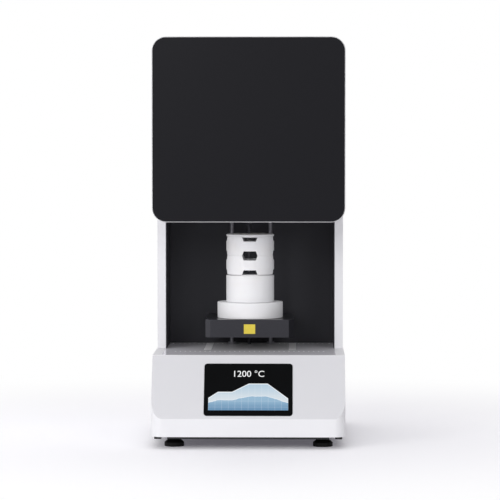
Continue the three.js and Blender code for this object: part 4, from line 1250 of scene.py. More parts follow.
# Firing stack. Pressed and ground alumina: a plug disc that closes the chamber, a pedestal with a
# raised seat, two trays with four vent notches in each rim, and a lid.
ceramic_round = 0.0009
ceramic_warmth = (0.985, 0.97, 0.95)
seat_rise = 0.0021
seat_inset = 0.0045
tray_wall = 0.005
tray_floor_rise = 0.009
tray_floor_thickness = 0.003
notch_depth = 0.0086
notch_rim_half = 0.0147
notch_floor_half = 0.0117
notch_bevel_angle = 40
tray_height = 0.0363
tray_round = 0.0004
tray_floor_round = 0.0012
lid_boss_height = 0.0015
lid_crown = 0.0018
lid_flare = 0.0008
lid_rim_rounds = (0.0006, 0.0008, 0.0012)
stack_steps = 128


def ceramic_finish(name, colour, grain, depth):
    """Fired alumina: matt and white, with fine pores and a faint warm patch here and there."""
    finish = Finish(bpy.data.materials.new(name))
    pores = finish.noise(grain, detail=3)
    patches = finish.noise(scale=16, detail=4)
    warmer = tuple(level * share for level, share in zip(colour, ceramic_warmth))
    tone = finish.mix(patches.between(low=0.45, high=0.8), colour, (*warmer, 1))
    return finish.surface(
        Base_Color=finish.mix(pores.between(low=0.62, high=0.8), tone, toned(colour, share=0.9)),
        Roughness=pores * 0.15 + 0.55,
        Specular_IOR_Level=0.35,
        Normal=finish.bump(pores, depth),
    )


ceramic = ceramic_finish("ceramic", shade(238, 238, 240), grain=1300, depth=0.00003)
disc_low, disc_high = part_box("plug_disc")
disc_rounds = (0, ceramic_round, ceramic_round, 0)
plug = turned(0, disc_high.x, disc_low.z, disc_high.z, disc_rounds, steps=stack_steps)
fit(eased(plug), "plug_block", "lift", "ceramic", ceramic, "plug_disc")
seat_low, seat_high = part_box("pedestal")
stack_radius = seat_high.x
pedestal = lathe([
    (0, seat_low.z, 0),
    (stack_radius, seat_low.z, ceramic_round),
    (stack_radius, seat_high.z - seat_rise, ceramic_round / 2),
    (stack_radius - seat_inset, seat_high.z - seat_rise, 0),
    (stack_radius - seat_inset, seat_high.z, ceramic_round / 2),
    (0, seat_high.z, 0),
], steps=stack_steps)
fit(eased(pedestal), "pedestal_block", "lift", "ceramic", ceramic, "pedestal")


def tray_piece(node):
    """A tray: a ring wall with a raised floor, and four tapered notches in each rim."""
    low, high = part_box(node)
    inner = stack_radius - tray_wall
    floor_z = high.z - tray_height + tray_floor_rise
    body = lathe([
        (0, floor_z, 0),
        (inner, floor_z, 0),
        (inner, low.z, tray_round),
        (stack_radius, low.z, tray_round),
        (stack_radius, high.z, tray_round),
        (inner, high.z, tray_round),
        (inner, floor_z + tray_floor_thickness, tray_floor_round),
        (0, floor_z + tray_floor_thickness, 0),
    ], steps=stack_steps)
    slope = (notch_rim_half - notch_floor_half) / notch_depth
    half = notch_rim_half + slope * cut_past
    cutters = []
    for edge, way in ((low.z, 1), (high.z, -1)):
        start, end = edge - way * cut_past, edge + way * notch_depth
        notch = [(-half, start), (half, start), (notch_floor_half, end), (-notch_floor_half, end)]
        for axis in "xy":
            cutters.append(prism(notch, -2 * stack_radius, 2 * stack_radius, axis))
    return eased(carve(body, cut=cutters), tray_round, segments=2, angle=notch_bevel_angle)


for level in ("lower", "upper"):
    tray = tray_piece(f"crucible_tray_{level}")
    fit(tray, f"crucible_{level}_ring", f"crucible_{level}", "ceramic", ceramic, f"crucible_tray_{level}")

lid_low, lid_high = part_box("crucible_lid")
lid_seat = lid_low.z + lid_boss_height + deck_gap / 2
lid_boss_radius = stack_radius - tray_wall - deck_gap
lid = lathe([
    (0, lid_low.z, 0),
    (lid_boss_radius, lid_low.z, tray_round),
    (lid_boss_radius, lid_seat, 0),
    (stack_radius - lid_flare, lid_seat, tray_round),
    (stack_radius, lid_high.z - lid_flare, lid_rim_rounds[0]),
    (stack_radius, lid_high.z + lid_crown / 3, lid_rim_rounds[1]),
    (stack_radius - 3 * lid_flare, lid_high.z + lid_crown, lid_rim_rounds[2]),
    (0, lid_high.z + lid_crown, 0),
], steps=stack_steps)
fit(eased(lid), "crucible_cap", "lid", "ceramic", ceramic, "crucible_lid")

# Head. A rolled sleeve in white enamel with round corners, its floor open for the plug, the rods,
# the screw and the cables, and a bevelled black front panel that plugs into it.
head_wall = 0.0025
head_corner = 0.0265
head_edge = 0.0007
panel_inset = 0.0015
panel_thickness = 0.0038
panel_bevel = 0.0015
panel_rim_width = 0.004
neck_wall = 0.029
neck_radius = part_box("insulation_neck")[1].x - neck_wall
head_low, head_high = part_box("head_shell")
head_width = head_high.x - head_low.x
head_height = head_high.z - head_low.z
head_middle = (head_low.z + head_high.z) / 2
head_screw_rise = 0.008
head_screw_places = [(y, head_low.z + head_corner + head_screw_rise) for y in side_screw_rows]


def head_outline(inset):
    """The head's outline from the front, moved in by its wall."""
    width, height = head_width - 2 * inset, head_height - 2 * inset
    return rounded(width, height, head_corner - inset, 0, head_middle)


floor_top = head_low.z + head_wall
below, above = head_low.z - cut_past, floor_top + cut_past
sleeve = carve(
    prism(head_outline(0), head_low.y, head_high.y, "y"),
    cut=[
        prism(head_outline(head_wall), head_low.y - cut_past, head_high.y + cut_past, "y"),
        bar(neck_radius, below, above, 0, 0, stack_steps),
        *[bar(screw_radius + deck_gap, below, above, x, rod_y) for x in (screw_x, -rod_x, rod_x)],
        cable_opening(below, above),
        *side_pockets(head_screw_places),
    ],
)
fit(eased(sleeve, head_edge), "head_sleeve", "cabinet", "white_enamel", white_enamel, "head_shell")

panel_low, panel_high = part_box("head_front_panel")
panel_back = panel_low.y + panel_thickness
rim_inset = head_wall + deck_gap
panel_rim = carve(
    prism(head_outline(rim_inset), panel_back - panel_thickness / 2, panel_high.y, "y"),
    cut=[prism(head_outline(rim_inset + panel_rim_width), panel_back, panel_high.y + cut_past, "y")],
)
panel = carve(prism(head_outline(panel_inset), panel_low.y, panel_back, "y"), join=[panel_rim])
black_panel = enamel("black_panel", shade(27, 27, 31), roughness=0.3, peel_depth=0.000006, specular=0.1)
panel = eased(panel, panel_bevel, segments=4)
fit(panel, "head_fascia", "cabinet", "black_panel", black_panel, "head_front_panel")

# Side screws. Low steel button heads, three low on each side of the base cover and three on the
# head, sunk flush in their pockets.
side_screw_radius = 0.0031
side_screw_rise = 0.0008
for side, sign in (("left", -1), ("right", 1)):
    sunk = sign * (base_half - pocket_depth)
    places = [(sunk, y, z) for y, z in (*base_screw_places, *head_screw_places)]
    side_head = button_head(side_screw_radius, side_screw_rise)
    side_screws = set_out(side_head, places, (sign, 0, 0), plain_steel, math.tau, seed=7)
    fit(side_screws, f"side_screws_{side}", "cabinet", "plain_steel", plain_steel)

# Heating chamber. Vacuum-formed fibre rings in a rolled steel jacket, on a plate with four legs.
# The neck lines the opening, the muffle is the chamber's wall, and the roof carries the elements.
jacket_thickness = 0.0015
jacket_edge = 0.0003
stand_edge = 0.0006
muffle_wall = 0.066
board_round = 0.0015
board_creams = (shade(240, 237, 229), shade(228, 222, 210))
board_felt = shade(214, 207, 194)


def fibre_finish():
    """Fibre board: soft, cream white, felted in layers."""
    finish = Finish(bpy.data.materials.new("insulation_board"))
    felt = finish.noise(scale=240, detail=5, place=finish.place(scale=(1, 1, 0.3)))
    lumps = finish.noise(scale=45, detail=3)
    tone = finish.mix(lumps, *board_creams)
    return finish.surface(
        Base_Color=finish.mix(felt.between(low=0.35, high=0.75), tone, board_felt),
        Roughness=felt * 0.1 + 0.85,
        Normal=finish.bump(felt, depth=0.0003),
    )


insulation = fibre_finish()


def tube_ring(inner, outer, low, high, radius):
    """A ring with a square section, its corners slightly rounded."""
    return turned(inner, outer, low, high, (radius, radius, radius, radius), steps=stack_steps)


neck_low, neck_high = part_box("insulation_neck")
muffle_low, muffle_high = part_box("insulation_muffle")
roof_low, roof_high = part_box("insulation_roof")
jacket_low, jacket_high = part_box("chamber_jacket")
chamber_radius = muffle_high.x - muffle_wall
probe_radius = 0.0035
probe_low, probe_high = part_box("thermocouple")
probe_z = (probe_low.z + probe_high.z) / 2
lie_along_y = Matrix.Rotation(-math.pi / 2, 4, "X")


def bar_along_y(radius, low, high, x, z, steps=round_steps):
    """A round bar that lies front to back."""
    return placed(bar(radius, low, high, x, -z, steps), lie_along_y)


def probe_hole():
    """A cutter for the thermocouple's way in through the rear wall."""
    return bar_along_y(probe_radius + deck_gap, chamber_radius / 2, muffle_high.x * 2, 0, probe_z)


neck = tube_ring(neck_radius, neck_high.x, neck_low.z, neck_high.z, board_round)
fit(eased(neck), "neck_ring", "cabinet", "insulation_board", insulation, "insulation_neck")
muffle = carve(
    tube_ring(chamber_radius, muffle_high.x, muffle_low.z, muffle_high.z, board_round),
    cut=[probe_hole()],
)
fit(eased(muffle), "muffle_ring", "cabinet", "insulation_board", insulation, "insulation_muffle")
jacket = carve(
    tube_ring(jacket_high.x - jacket_thickness, jacket_high.x, jacket_low.z, jacket_high.z, 0),
    cut=[probe_hole()],
)
fit(eased(jacket, jacket_edge), "jacket_sheet", "cabinet", "plain_steel", plain_steel, "chamber_jacket")
stand = refined("chamber_frame", stand_edge)
fit(stand, "chamber_stand", "cabinet", "plain_steel", plain_steel, "chamber_frame")

# Heating elements. Four hairpins of molybdenum disilicide rod, thicker where they pass the roof,
# in a ceramic holder ring, and a thermocouple in a ceramic sheath through the rear wall.
element_count = 4
element_radius = 0.003
terminal_radius = 0.005
element_circle = 0.06
leg_half = 0.015
terminal_chamfer = 0.0006
terminal_taper = 0.006
holder_half = 0.013
probe_tip_share = 0.8
bend_points = 16
terminal_gap = 0.0003
element_greys = (shade(92, 88, 84), shade(62, 59, 57))


def tube(path, radii, across, steps=20):
    """A round rod along a flat path; across is square to the path's plane."""
    shape = bmesh.new()
    rings = []
    for index, (point, radius) in enumerate(zip(path, radii)):
        along = path[min(index + 1, len(path) - 1)] - path[max(index - 1, 0)]
        side = along.cross(across).normalized()
        ring = []
        for step in range(steps):
            angle = step / steps * math.tau
            spoke = across * math.cos(angle) + side * math.sin(angle)
            ring.append(shape.verts.new(point + spoke * radius))
        rings.append(ring)
    return skinned(shape, rings)


def element_finish():
    """Fired disilicide: dark grey under a thin glassy skin."""
    finish = Finish(bpy.data.materials.new("element_grey"))
    cloud = finish.noise(scale=90, detail=4)
    return finish.surface(
        Base_Color=finish.mix(cloud, *element_greys),
        Metallic=0.35,
        Roughness=cloud * 0.2 + 0.4,
        Normal=finish.bump(finish.noise(scale=900, detail=2), depth=0.00002),
    )


element_grey = element_finish()
holder_low, holder_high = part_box("element_holder")
leg_places = []
for index in range(element_count):
    node = f"heating_element_{index + 1}"
    low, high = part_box(node)
    angle = (index + 0.5) / element_count * math.tau
    outward = Vector((math.cos(angle), math.sin(angle), 0))
    beside = Vector((-math.sin(angle), math.cos(angle), 0))
    middle = outward * element_circle
    bend_z = low.z + element_radius + leg_half
    path, radii = [], []
    for z, radius in (
        (high.z, terminal_radius - terminal_chamfer),
        (high.z - terminal_chamfer, terminal_radius),
        (roof_low.z, terminal_radius),
        (roof_low.z - terminal_taper, element_radius),
    ):
        path.append(middle + beside * leg_half + Vector((0, 0, z)))
        radii.append(radius)
    for step in range(bend_points + 1):
        turn = step / bend_points * math.pi
        height = Vector((0, 0, bend_z - leg_half * math.sin(turn)))
        path.append(middle + beside * leg_half * math.cos(turn) + height)
        radii.append(element_radius)
    for point, radius in list(zip(path, radii))[3::-1]:
        path.append(point - beside * 2 * leg_half)
        radii.append(radius)
    element = tube(path, radii, outward)
    fit(eased(element), f"element_{index + 1}_hairpin", "cabinet", "element_grey", element_grey, node)
    leg_places += [middle + beside * leg_half, middle - beside * leg_half]


def leg_holes(low, high):
    """Cutters for the elements' eight legs."""
    radius, below, above = terminal_radius + terminal_gap, low - cut_past, high + cut_past
    return [bar(radius, below, above, leg.x, leg.y, steps=32) for leg in leg_places]


roof_rounds = (0, board_round, board_round, 0)
roof = carve(
    turned(0, muffle_high.x, roof_low.z, roof_high.z, roof_rounds, steps=stack_steps),
    cut=leg_holes(roof_low.z, roof_high.z),
)
fit(eased(roof), "roof_block", "cabinet", "insulation_board", insulation, "insulation_roof")
holder = carve(
    tube_ring(
        element_circle - holder_half,
        element_circle + holder_half,
        holder_low.z,
        holder_high.z,
        ceramic_round,
    ),
    cut=leg_holes(holder_low.z, holder_high.z),
)
fit(eased(holder), "holder_ring", "cabinet", "ceramic", ceramic, "element_holder")
probe_head_radius = (probe_high.z - probe_low.z) / 2
probe_head_start = jacket_high.x + deck_gap
probe = lathe([
    (0, probe_low.y, 0),
    (probe_radius, probe_low.y, probe_radius * probe_tip_share),
    (probe_radius, probe_head_start, 0),
    (probe_head_radius, probe_head_start, ceramic_round),
    (probe_head_radius, probe_high.y, ceramic_round * 2),
    (0, probe_high.y, 0),
], 0, -probe_z)
fit(eased(placed(probe, lie_along_y)), "thermocouple_probe", "cabinet", "ceramic", ceramic, "thermocouple")

# Rear covers. Flat sheets in white enamel, pierced with two banks of round-ended vents each and
# held by button-head screws along their edges.
vent_width = 0.064
vent_height = 0.005
vent_pitch = 0.012
vent_count = 8
vent_x = 0.07
lower_vent_z = 0.25
upper_vent_drop = 0.06
rear_edge = 0.0005
cover_screw_radius = 0.0032
cover_screw_rise = 0.0018
cover_screw_inset = 0.0095
cover_gap = 0.0002
lower_screw_heights = (0.03, 0.35, 0.67, 0.97)
upper_screw_heights = (0.1, 0.5, 0.9)
middle_screw_x = 0.09
vent_end_share = 0.499
inlet_low, inlet_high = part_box("power_inlet")
lower_low, lower_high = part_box("rear_cover_lower")
upper_low, upper_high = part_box("rear_cover_upper")
fan_guard_low, fan_guard_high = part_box("fan_guard")
fan_x = (fan_guard_low.x + fan_guard_high.x) / 2
fan_z = (fan_guard_low.z + fan_guard_high.z) / 2
fan_bore = 0.038
inlet_x = (inlet_low.x + inlet_high.x) / 2
inlet_z = (inlet_low.z + inlet_high.z) / 2
inlet_flange = 0.004


def vents(centre_z):
    """A cutter for two banks of vents: one round-ended bar set out at every place."""
    vent = rounded(vent_width, vent_height, vent_height * vent_end_share)
    places = []
    for sign in (-1, 1):
        for row in range(vent_count):
            z = centre_z + (row - (vent_count - 1) / 2) * vent_pitch
            places.append((sign * vent_x, (lower_low.y + lower_high.y) / 2, z))
    return set_out(prism(vent, -cut_past * 2, cut_past * 2), places, (0, 1, 0), white_enamel)


inlet_opening_low = (
    inlet_low.x + inlet_flange - deck_gap,
    lower_low.y - cut_past,
    inlet_low.z + inlet_flange - deck_gap,
)
inlet_opening_high = (
    inlet_high.x - inlet_flange + deck_gap,
    lower_high.y + cut_past,
    inlet_high.z - inlet_flange + deck_gap,
)
lower_cover = carve(
    block(lower_low, lower_high),
    cut=[
        prism(head_outline(-cover_gap), lower_low.y - cut_past, lower_high.y + cut_past, "y"),
        vents(lower_vent_z),
        block(inlet_opening_low, inlet_opening_high),
    ],
)
lower_cover = eased(lower_cover, rear_edge, segments=2)
fit(lower_cover, "rear_sheet_lower", "cabinet", "white_enamel", white_enamel, "rear_cover_lower")
upper_cover = carve(
    prism(head_outline(0), upper_low.y, upper_high.y, "y"),
    cut=[
        vents(head_low.z + upper_vent_drop),
        bar_along_y(fan_bore, upper_low.y - cut_past, upper_high.y + cut_past, fan_x, fan_z, steps=128),
    ],
)
upper_cover = eased(upper_cover, rear_edge, segments=2)
fit(upper_cover, "rear_sheet_upper", "cabinet", "white_enamel", white_enamel, "rear_cover_upper")

screw_places = []
for sign in (-1, 1):
    for share in lower_screw_heights:
        z = lower_low.z + (head_low.z - lower_low.z) * share
        screw_places.append((sign * (lower_high.x - cover_screw_inset), lower_high.y, z))
    for share in upper_screw_heights:
        z = head_low.z + head_height * share
        screw_places.append((sign * (upper_high.x - cover_screw_inset), upper_high.y, z))
    screw_places.append((sign * middle_screw_x, upper_high.y, head_high.z - cover_screw_inset))
    screw_places.append((sign * middle_screw_x, upper_high.y, head_low.z + cover_screw_inset))
cover_head = button_head(cover_screw_radius, cover_screw_rise)
cover_screws = set_out(cover_head, screw_places, (0, 1, 0), plain_steel, math.tau, seed=5)
fit(cover_screws, "cover_screws", "cabinet", "plain_steel", plain_steel)

# Cooling fan. A moulded frame with four struts and a hub, a rotor of seven curved blades on its
# pin, and a guard of round welded wires with an eye and a screw at each corner.
fan_width = 0.08
fan_corner = 0.005
fan_back = 0.002
fan_edge = 0.0005
fan_pin_radius = 0.002
hub_radius = 0.015
hub_bore = 0.0023
hub_rounds = (0, 0.0004, 0.0016, 0)
strut_width = 0.005
blade_count = 7
blade_pitch = math.radians(38)
blade_twist = math.radians(14)
blade_chord = 0.02
blade_thickness = 0.0013
blade_bow = 0.0015
blade_thinning = 0.75
blade_root_share = 0.7
blade_tip_gap = 0.0015
wire_radius = 0.00055
wire_steps = 14
wire_round_share = 0.99
guard_step = 0.012
spoke_start = 0.004
spoke_stop = 0.003
eye_spacing = 0.0715
eye_bore = 0.0022
eye_rim = 0.0045
eye_half = wire_radius * 0.9
eye_rounds = (0.0002, 0.0003, 0.0003, 0.0002)
guard_screw_radius = 0.0026
guard_screw_rise = 0.0012
guard_screw_seat = 0.0006
frame_low, frame_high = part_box("fan_housing")
rotor_gap = 0.001
rotor_start = frame_low.y + fan_back + rotor_gap
rotor_depth = 0.014
turn_upright = Matrix.Rotation(math.pi / 2, 4, "X")
fan_frame = carve(
    prism(rounded(fan_width, fan_width, fan_corner, fan_x, fan_z), frame_low.y, frame_high.y, "y"),
    cut=[bar_along_y(fan_bore, frame_low.y - cut_past, frame_high.y + cut_past, fan_x, fan_z, steps=96)],
)
half_strut = strut_width / 2
strut_start = frame_low.y + fan_back / 8
strut_stop = frame_low.y + fan_back * 7 / 8
fan_struts = carve(
    bar_along_y(hub_radius, frame_low.y, frame_low.y + fan_back, fan_x, fan_z),
    join=[
        block(
            (fan_x - fan_bore - half_strut, strut_start, fan_z - half_strut),
            (fan_x + fan_bore + half_strut, strut_stop, fan_z + half_strut),
        ),
        block(
            (fan_x - half_strut, strut_start, fan_z - fan_bore - half_strut),
            (fan_x + half_strut, strut_stop, fan_z + fan_bore + half_strut),
        ),
        bar_along_y(fan_pin_radius, strut_start, rotor_start + rotor_depth, fan_x, fan_z, steps=24),
    ],
)
fan_frame = eased(carve(fan_frame, join=[fan_struts]), fan_edge, segments=2)
fit(fan_frame, "fan_frame", "cabinet", "black_plastic", black_plastic, "fan_housing")


def blade():
    """One fan blade: a thin curved section, twisted from the hub to the tip."""
    shape = bmesh.new()
    reach_in, reach_out = hub_radius * blade_root_share, fan_bore - blade_tip_gap
    stations, chords = 6, 7
    grids = []
    for face in (1, -1):
        grid = []
        for station in range(stations):
            share = station / (stations - 1)
            radius = reach_in + (reach_out - reach_in) * share
            pitch = blade_pitch - blade_twist * share
            row = []
            for chord in range(chords):
                way = chord / (chords - 1) * 2 - 1
                bow = blade_bow * (1 - way * way)
                thick = blade_thickness / 2 * (1 - blade_thinning * way * way)
                along, out = way * blade_chord / 2, bow + face * thick
                y = along * math.sin(pitch) + out * math.cos(pitch)
                z = along * math.cos(pitch) - out * math.sin(pitch)
                row.append(shape.verts.new((radius, y, z)))
            grid.append(row)
        for station in range(stations - 1):
            for chord in range(chords - 1):
                a, b = grid[station][chord], grid[station][chord + 1]
                c, d = grid[station + 1][chord + 1], grid[station + 1][chord]
                shape.faces.new([a, b, c, d] if face > 0 else [d, c, b, a])
        grids.append(grid)
    front, back = grids
    for station in range(stations - 1):
        for chord in (0, chords - 1):
            near, far = front[station][chord], front[station + 1][chord]
            shape.faces.new([near, far, back[station + 1][chord], back[station][chord]])
    for station in (0, stations - 1):
        for chord in range(chords - 1):
            near, far = front[station][chord], front[station][chord + 1]
            shape.faces.new([near, far, back[station][chord + 1], back[station][chord]])
    return solid(shape)


rotor_middle = rotor_start + rotor_depth / 2
blades = []
for index in range(blade_count):
    spin = Matrix.Rotation(index / blade_count * math.tau, 4, "Y")
    blades.append(placed(blade(), Matrix.Translation((fan_x, rotor_middle, fan_z)) @ spin))
hub = turned(hub_bore, hub_radius, rotor_start, rotor_start + rotor_depth, hub_rounds, fan_x, -fan_z)
rotor = carve(placed(hub, lie_along_y), join=blades)
fit(eased(rotor), "fan_impeller", "fan", "black_plastic", black_plastic, "fan_rotor")

spoke_y = fan_guard_low.y + wire_radius
ring_y = fan_guard_high.y - wire_radius
guard_outer = (fan_guard_high.x - fan_guard_low.x) / 2 - wire_radius


def wire_ring(radius):
    """A ring of round wire, upright and facing back."""
    rounds = (wire_radius * wire_round_share,) * 4
    ring = turned(radius - wire_radius, radius + wire_radius, -wire_radius, wire_radius, rounds, steps=100)
    return placed(ring, Matrix.Translation((fan_x, ring_y, fan_z)) @ turn_upright)


def wire(start, end):
    """A straight round wire between the rings and the cover, from one point to another."""
    path = [Vector((start[0], spoke_y, start[1])), Vector((end[0], spoke_y, end[1]))]
    return tube(path, [wire_radius, wire_radius], Vector((0, 1, 0)), wire_steps)


ring_count = int(guard_outer / guard_step) + 1
guard_wires = [wire_ring(guard_outer - guard_step * index) for index in range(1, ring_count)]
eye_places = []
for sign_x in (-1, 1):
    for sign_z in (-1, 1):
        eye = Vector((fan_x + sign_x * eye_spacing / 2, spoke_y, fan_z + sign_z * eye_spacing / 2))
        eye_places.append(eye)
        outward = Vector((sign_x, sign_z)).normalized()
        inner_end = (fan_x + outward.x * spoke_start, fan_z + outward.y * spoke_start)
        outer_reach = eye_spacing / 2 * math.sqrt(2) - spoke_stop
        outer_end = (fan_x + outward.x * outer_reach, fan_z + outward.y * outer_reach)
        guard_wires.append(wire(inner_end, outer_end))
        ring = turned(eye_bore, eye_rim, -eye_half, eye_half, eye_rounds, steps=34)
        guard_wires.append(placed(ring, Matrix.Translation(eye) @ turn_upright))
guard = carve(wire_ring(guard_outer), join=guard_wires)
fit(eased(guard), "guard_wires", "cabinet", "plain_steel", bright_steel, "fan_guard")
guard_head = button_head(guard_screw_radius, guard_screw_rise)
guard_screw_places = [(eye.x, upper_high.y + guard_screw_seat, eye.z) for eye in eye_places]
guard_screws = set_out(guard_head, guard_screw_places, (0, 1, 0), plain_steel, math.tau, seed=7)
fit(guard_screws, "guard_screws", "cabinet", "plain_steel", plain_steel)

# Mains inlet. A moulded flange with a three-pin socket below and a rocker switch above, the rocker
# tipped on its pin and marked with a bar and a ring.
inlet_round = 0.003
inlet_edge = 0.0004
inlet_screw_radius = 0.0022
inlet_screw_rise = 0.0012
inlet_screw_inset = 0.0042
socket_width = 0.0245
socket_height = 0.017
socket_depth = 0.015
socket_drop = 0.014
socket_cut = 0.0045
socket_round = 0.0008
contact_width = 0.002
contact_height = 0.004
contact_length = 0.012
contact_spacing = 0.007
contact_rise = 0.002
contact_round = 0.0005
contact_edge = 0.0003
contact_seat = 0.0005
rocker_width = 0.02
rocker_height = 0.014
rocker_opening_depth = 0.012
rocker_rise = 0.015
rocker_gap = 0.0009
rocker_opening_round = 0.0008
rocker_tilt = math.radians(11)
rocker_pin_depth = 0.0055
inlet_back = inlet_high.y
socket_z = inlet_z - socket_drop
rocker_z = inlet_z + rocker_rise

half_x, half_z = socket_width / 2, socket_height / 2
socket_outline = outline([
    (inlet_x - half_x, socket_z - half_z, socket_round),
    (inlet_x + half_x, socket_z - half_z, socket_round),
    (inlet_x + half_x, socket_z + half_z - socket_cut, socket_round),
    (inlet_x + half_x - socket_cut, socket_z + half_z, socket_round),
    (inlet_x - half_x + socket_cut, socket_z + half_z, socket_round),
    (inlet_x - half_x, socket_z + half_z - socket_cut, socket_round),
])
inlet_width = inlet_high.x - inlet_low.x
inlet_height = inlet_high.z - inlet_low.z
inlet_body = carve(
    block(
        (inlet_low.x + inlet_flange, inlet_low.y, inlet_low.z + inlet_flange),
        (inlet_high.x - inlet_flange, inlet_back, inlet_high.z - inlet_flange),
    ),
    join=[
        prism(
            rounded(inlet_width, inlet_height, inlet_round, inlet_x, inlet_z),
            lower_high.y + deck_gap,
            inlet_back,
            "y",
        )
    ],
    cut=[
        prism(socket_outline, inlet_back - socket_depth, inlet_back + cut_past, "y"),
        prism(
            rounded(
                rocker_width + deck_gap * 2,
                rocker_height + 2 * rocker_gap,
                rocker_opening_round,
                inlet_x,
                rocker_z,
            ),
            inlet_back - rocker_opening_depth,
            inlet_back + cut_past,
            "y",
        ),
    ],
)
inlet_body = eased(inlet_body, inlet_edge, segments=2)
fit(inlet_body, "inlet_moulding", "cabinet", "black_plastic", black_plastic, "power_inlet")
contact_plan = rounded(contact_width, contact_height, contact_round)
contact = prism(contact_plan, -contact_length / 2, contact_length / 2)
contact_y = inlet_back - socket_depth + contact_length / 2 - contact_seat
contact_places = [
    (inlet_x - contact_spacing, contact_y, socket_z - contact_rise),
    (inlet_x, contact_y, socket_z + contact_rise),
    (inlet_x + contact_spacing, contact_y, socket_z - contact_rise),
]
contacts = set_out(eased(contact, contact_edge, segments=2), contact_places, (0, 1, 0), nut_brass)
fit(contacts, "inlet_contacts", "cabinet", "nut_brass", nut_brass)
inlet_head = button_head(inlet_screw_radius, inlet_screw_rise)
screw_reach = inlet_height / 2 - inlet_screw_inset
inlet_screw_places = [
    (inlet_x, inlet_back - inlet_screw_rise, inlet_z + sign * screw_reach) for sign in (-1, 1)
]
inlet_screws = set_out(inlet_head, inlet_screw_places, (0, 1, 0), plain_steel, math.tau, seed=11)
fit(inlet_screws, "inlet_screws", "cabinet", "plain_steel", plain_steel)

rocker_place = Matrix.Translation((inlet_x, inlet_back - rocker_pin_depth, rocker_z))
rocker_place = rocker_place @ Matrix.Rotation(rocker_tilt, 4, "X")
rocker_half = rocker_height / 2
rocker_back = 0.0027
rocker_end, rocker_middle = 0.004, 0.0026
rocker_back_round, rocker_end_round, rocker_dip_round = 0.0003, 0.0005, 0.002
rocker_bore = 0.0015
rocker_section = outline([
    (-rocker_back, -rocker_back, rocker_back_round),
    (rocker_end, -rocker_half, rocker_end_round),
    (rocker_middle, 0, rocker_dip_round),
    (rocker_end, rocker_half, rocker_end_round),
    (-rocker_back, rocker_back, rocker_back_round),
])
rocker_pin = bar(rocker_bore, -rocker_width, rocker_width, 0, 0, steps=24)
rocker = carve(
    prism(rocker_section, -rocker_width / 2, rocker_width / 2, "x"),
    cut=[placed(rocker_pin, Matrix.Rotation(math.pi / 2, 4, "Y"))],
)
rocker = placed(eased(rocker, inlet_edge, segments=2), rocker_place)
fit(rocker, "rocker_key", "rocker", "black_plastic", black_plastic, "switch_rocker")


def printed(name, colour):
    """Ink on plastic: an even colour, slightly thin in places."""
    finish = Finish(bpy.data.materials.new(name))
    thin = finish.noise(scale=700, detail=3)
    ink = finish.mix(thin, colour, toned(colour, share=0.8))
    return finish.surface(Base_Color=ink, Roughness=thin * 0.1 + 0.5)


mark_reach = 0.0036
mark_sunk, mark_proud = -0.0001, 0.00008
mark_bar = (0.0008, 0.0042, 0.0003)
mark_ring = (0.0012, 0.0019)
mark_lift = (rocker_middle + rocker_end) / 2
mark_lean = math.atan2(rocker_end - rocker_middle, rocker_half)
marks = []
for sign in (-1, 1):
    face = Matrix.Translation((0, mark_lift, sign * mark_reach))
    face = face @ Matrix.Rotation(-sign * mark_lean, 4, "X")
    if sign > 0:
        mark = prism(rounded(*mark_bar), mark_sunk, mark_proud, "y")
    else:
        mark = placed(tube_ring(*mark_ring, mark_sunk, mark_proud, 0), lie_along_y)
    marks.append(placed(mark, rocker_place @ face))
rocker_marks = carve(marks[0], join=marks[1:])
white_ink = printed("white_ink", shade(226, 226, 224))
fit(eased(rocker_marks), "rocker_marks", "rocker", "black_plastic", white_ink)

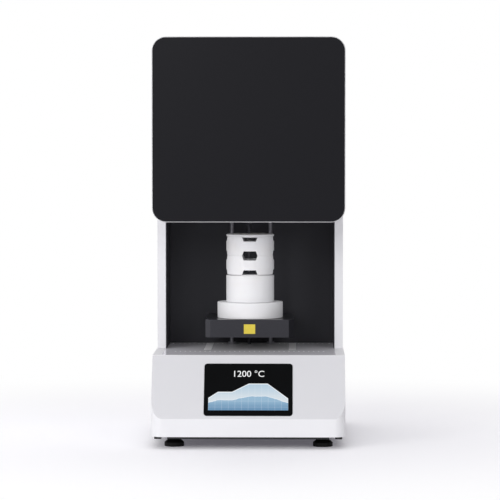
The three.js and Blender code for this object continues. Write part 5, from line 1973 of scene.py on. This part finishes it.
# Parts inside the base. A laminated transformer with its copper coil, a power relay on a finned
# heat sink, and a green control board with dark components, all on the tray's floor.
coil_proud = 0.009
sheet_pitch, sheet_seam = 0.0007, 0.0002
turn_pitch, turn_seam = 0.0011, 0.0003
parts_height, legs_height = 0.0119, 0.0098
track_pitch, track_width = 0.006, 0.0006
core_browns = (shade(112, 106, 98), shade(70, 66, 60))
copper_tones = (shade(168, 104, 58), shade(98, 58, 30))
laminate_greens = (shade(34, 98, 62), shade(26, 82, 52))
track_green = shade(86, 148, 100)
component_black = shade(30, 30, 32)
tinned_leg = shade(196, 178, 120)


def transformer_finish():
    """Stacked laminations, varnished, with the coil's wire showing where it stands proud."""
    finish = Finish(bpy.data.materials.new("transformer_core"))
    low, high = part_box("transformer")
    across, along, up = finish.axes(finish.place())
    middle = (low.y + high.y) / 2
    coil = abs(along - middle) > (high.y - low.y) / 2 - coil_proud
    sheets = (across % sheet_pitch) < sheet_seam
    turns = (up % turn_pitch) < turn_seam
    core = finish.mix(sheets, *core_browns)
    wire_tone = finish.mix(turns, *copper_tones)
    return finish.surface(
        Base_Color=finish.mix(coil, core, wire_tone),
        Metallic=0.3,
        Roughness=finish.noise(scale=200, detail=3) * 0.2 + 0.4,
        Normal=finish.bump(sheets + turns, depth=0.00008),
    )


def board_finish():
    """Green laminate with tinned tracks below, and dark moulded components above it."""
    finish = Finish(bpy.data.materials.new("circuit_board"))
    low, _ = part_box("control_board")
    across, along, up = finish.axes(finish.place())
    parts = up > low.z + parts_height
    legs = up < low.z + legs_height
    tracks = (((across + along) % track_pitch) < track_width) * (finish.noise(scale=60, detail=1) > 0.5)
    green = finish.mix(finish.noise(scale=30, detail=3), *laminate_greens)
    tracked = finish.mix(tracks, green, track_green)
    populated = finish.mix(parts, tracked, component_black)
    return finish.surface(
        Base_Color=finish.mix(legs, populated, tinned_leg),
        Roughness=finish.noise(scale=300, detail=2) * 0.15 + 0.4,
        Normal=finish.bump(tracks, depth=0.00005),
    )


for node, name, slot, finish, width in (
    ("transformer", "transformer_stack", "transformer_core", transformer_finish(), 0.0008),
    ("power_relay", "relay_heat_sink", "cast_aluminium", cast_aluminium, 0.0004),
    ("control_board", "board_assembly", "circuit_board", board_finish(), 0.0003),
):
    fit(refined(node, width), name, "cabinet", slot, finish, node)
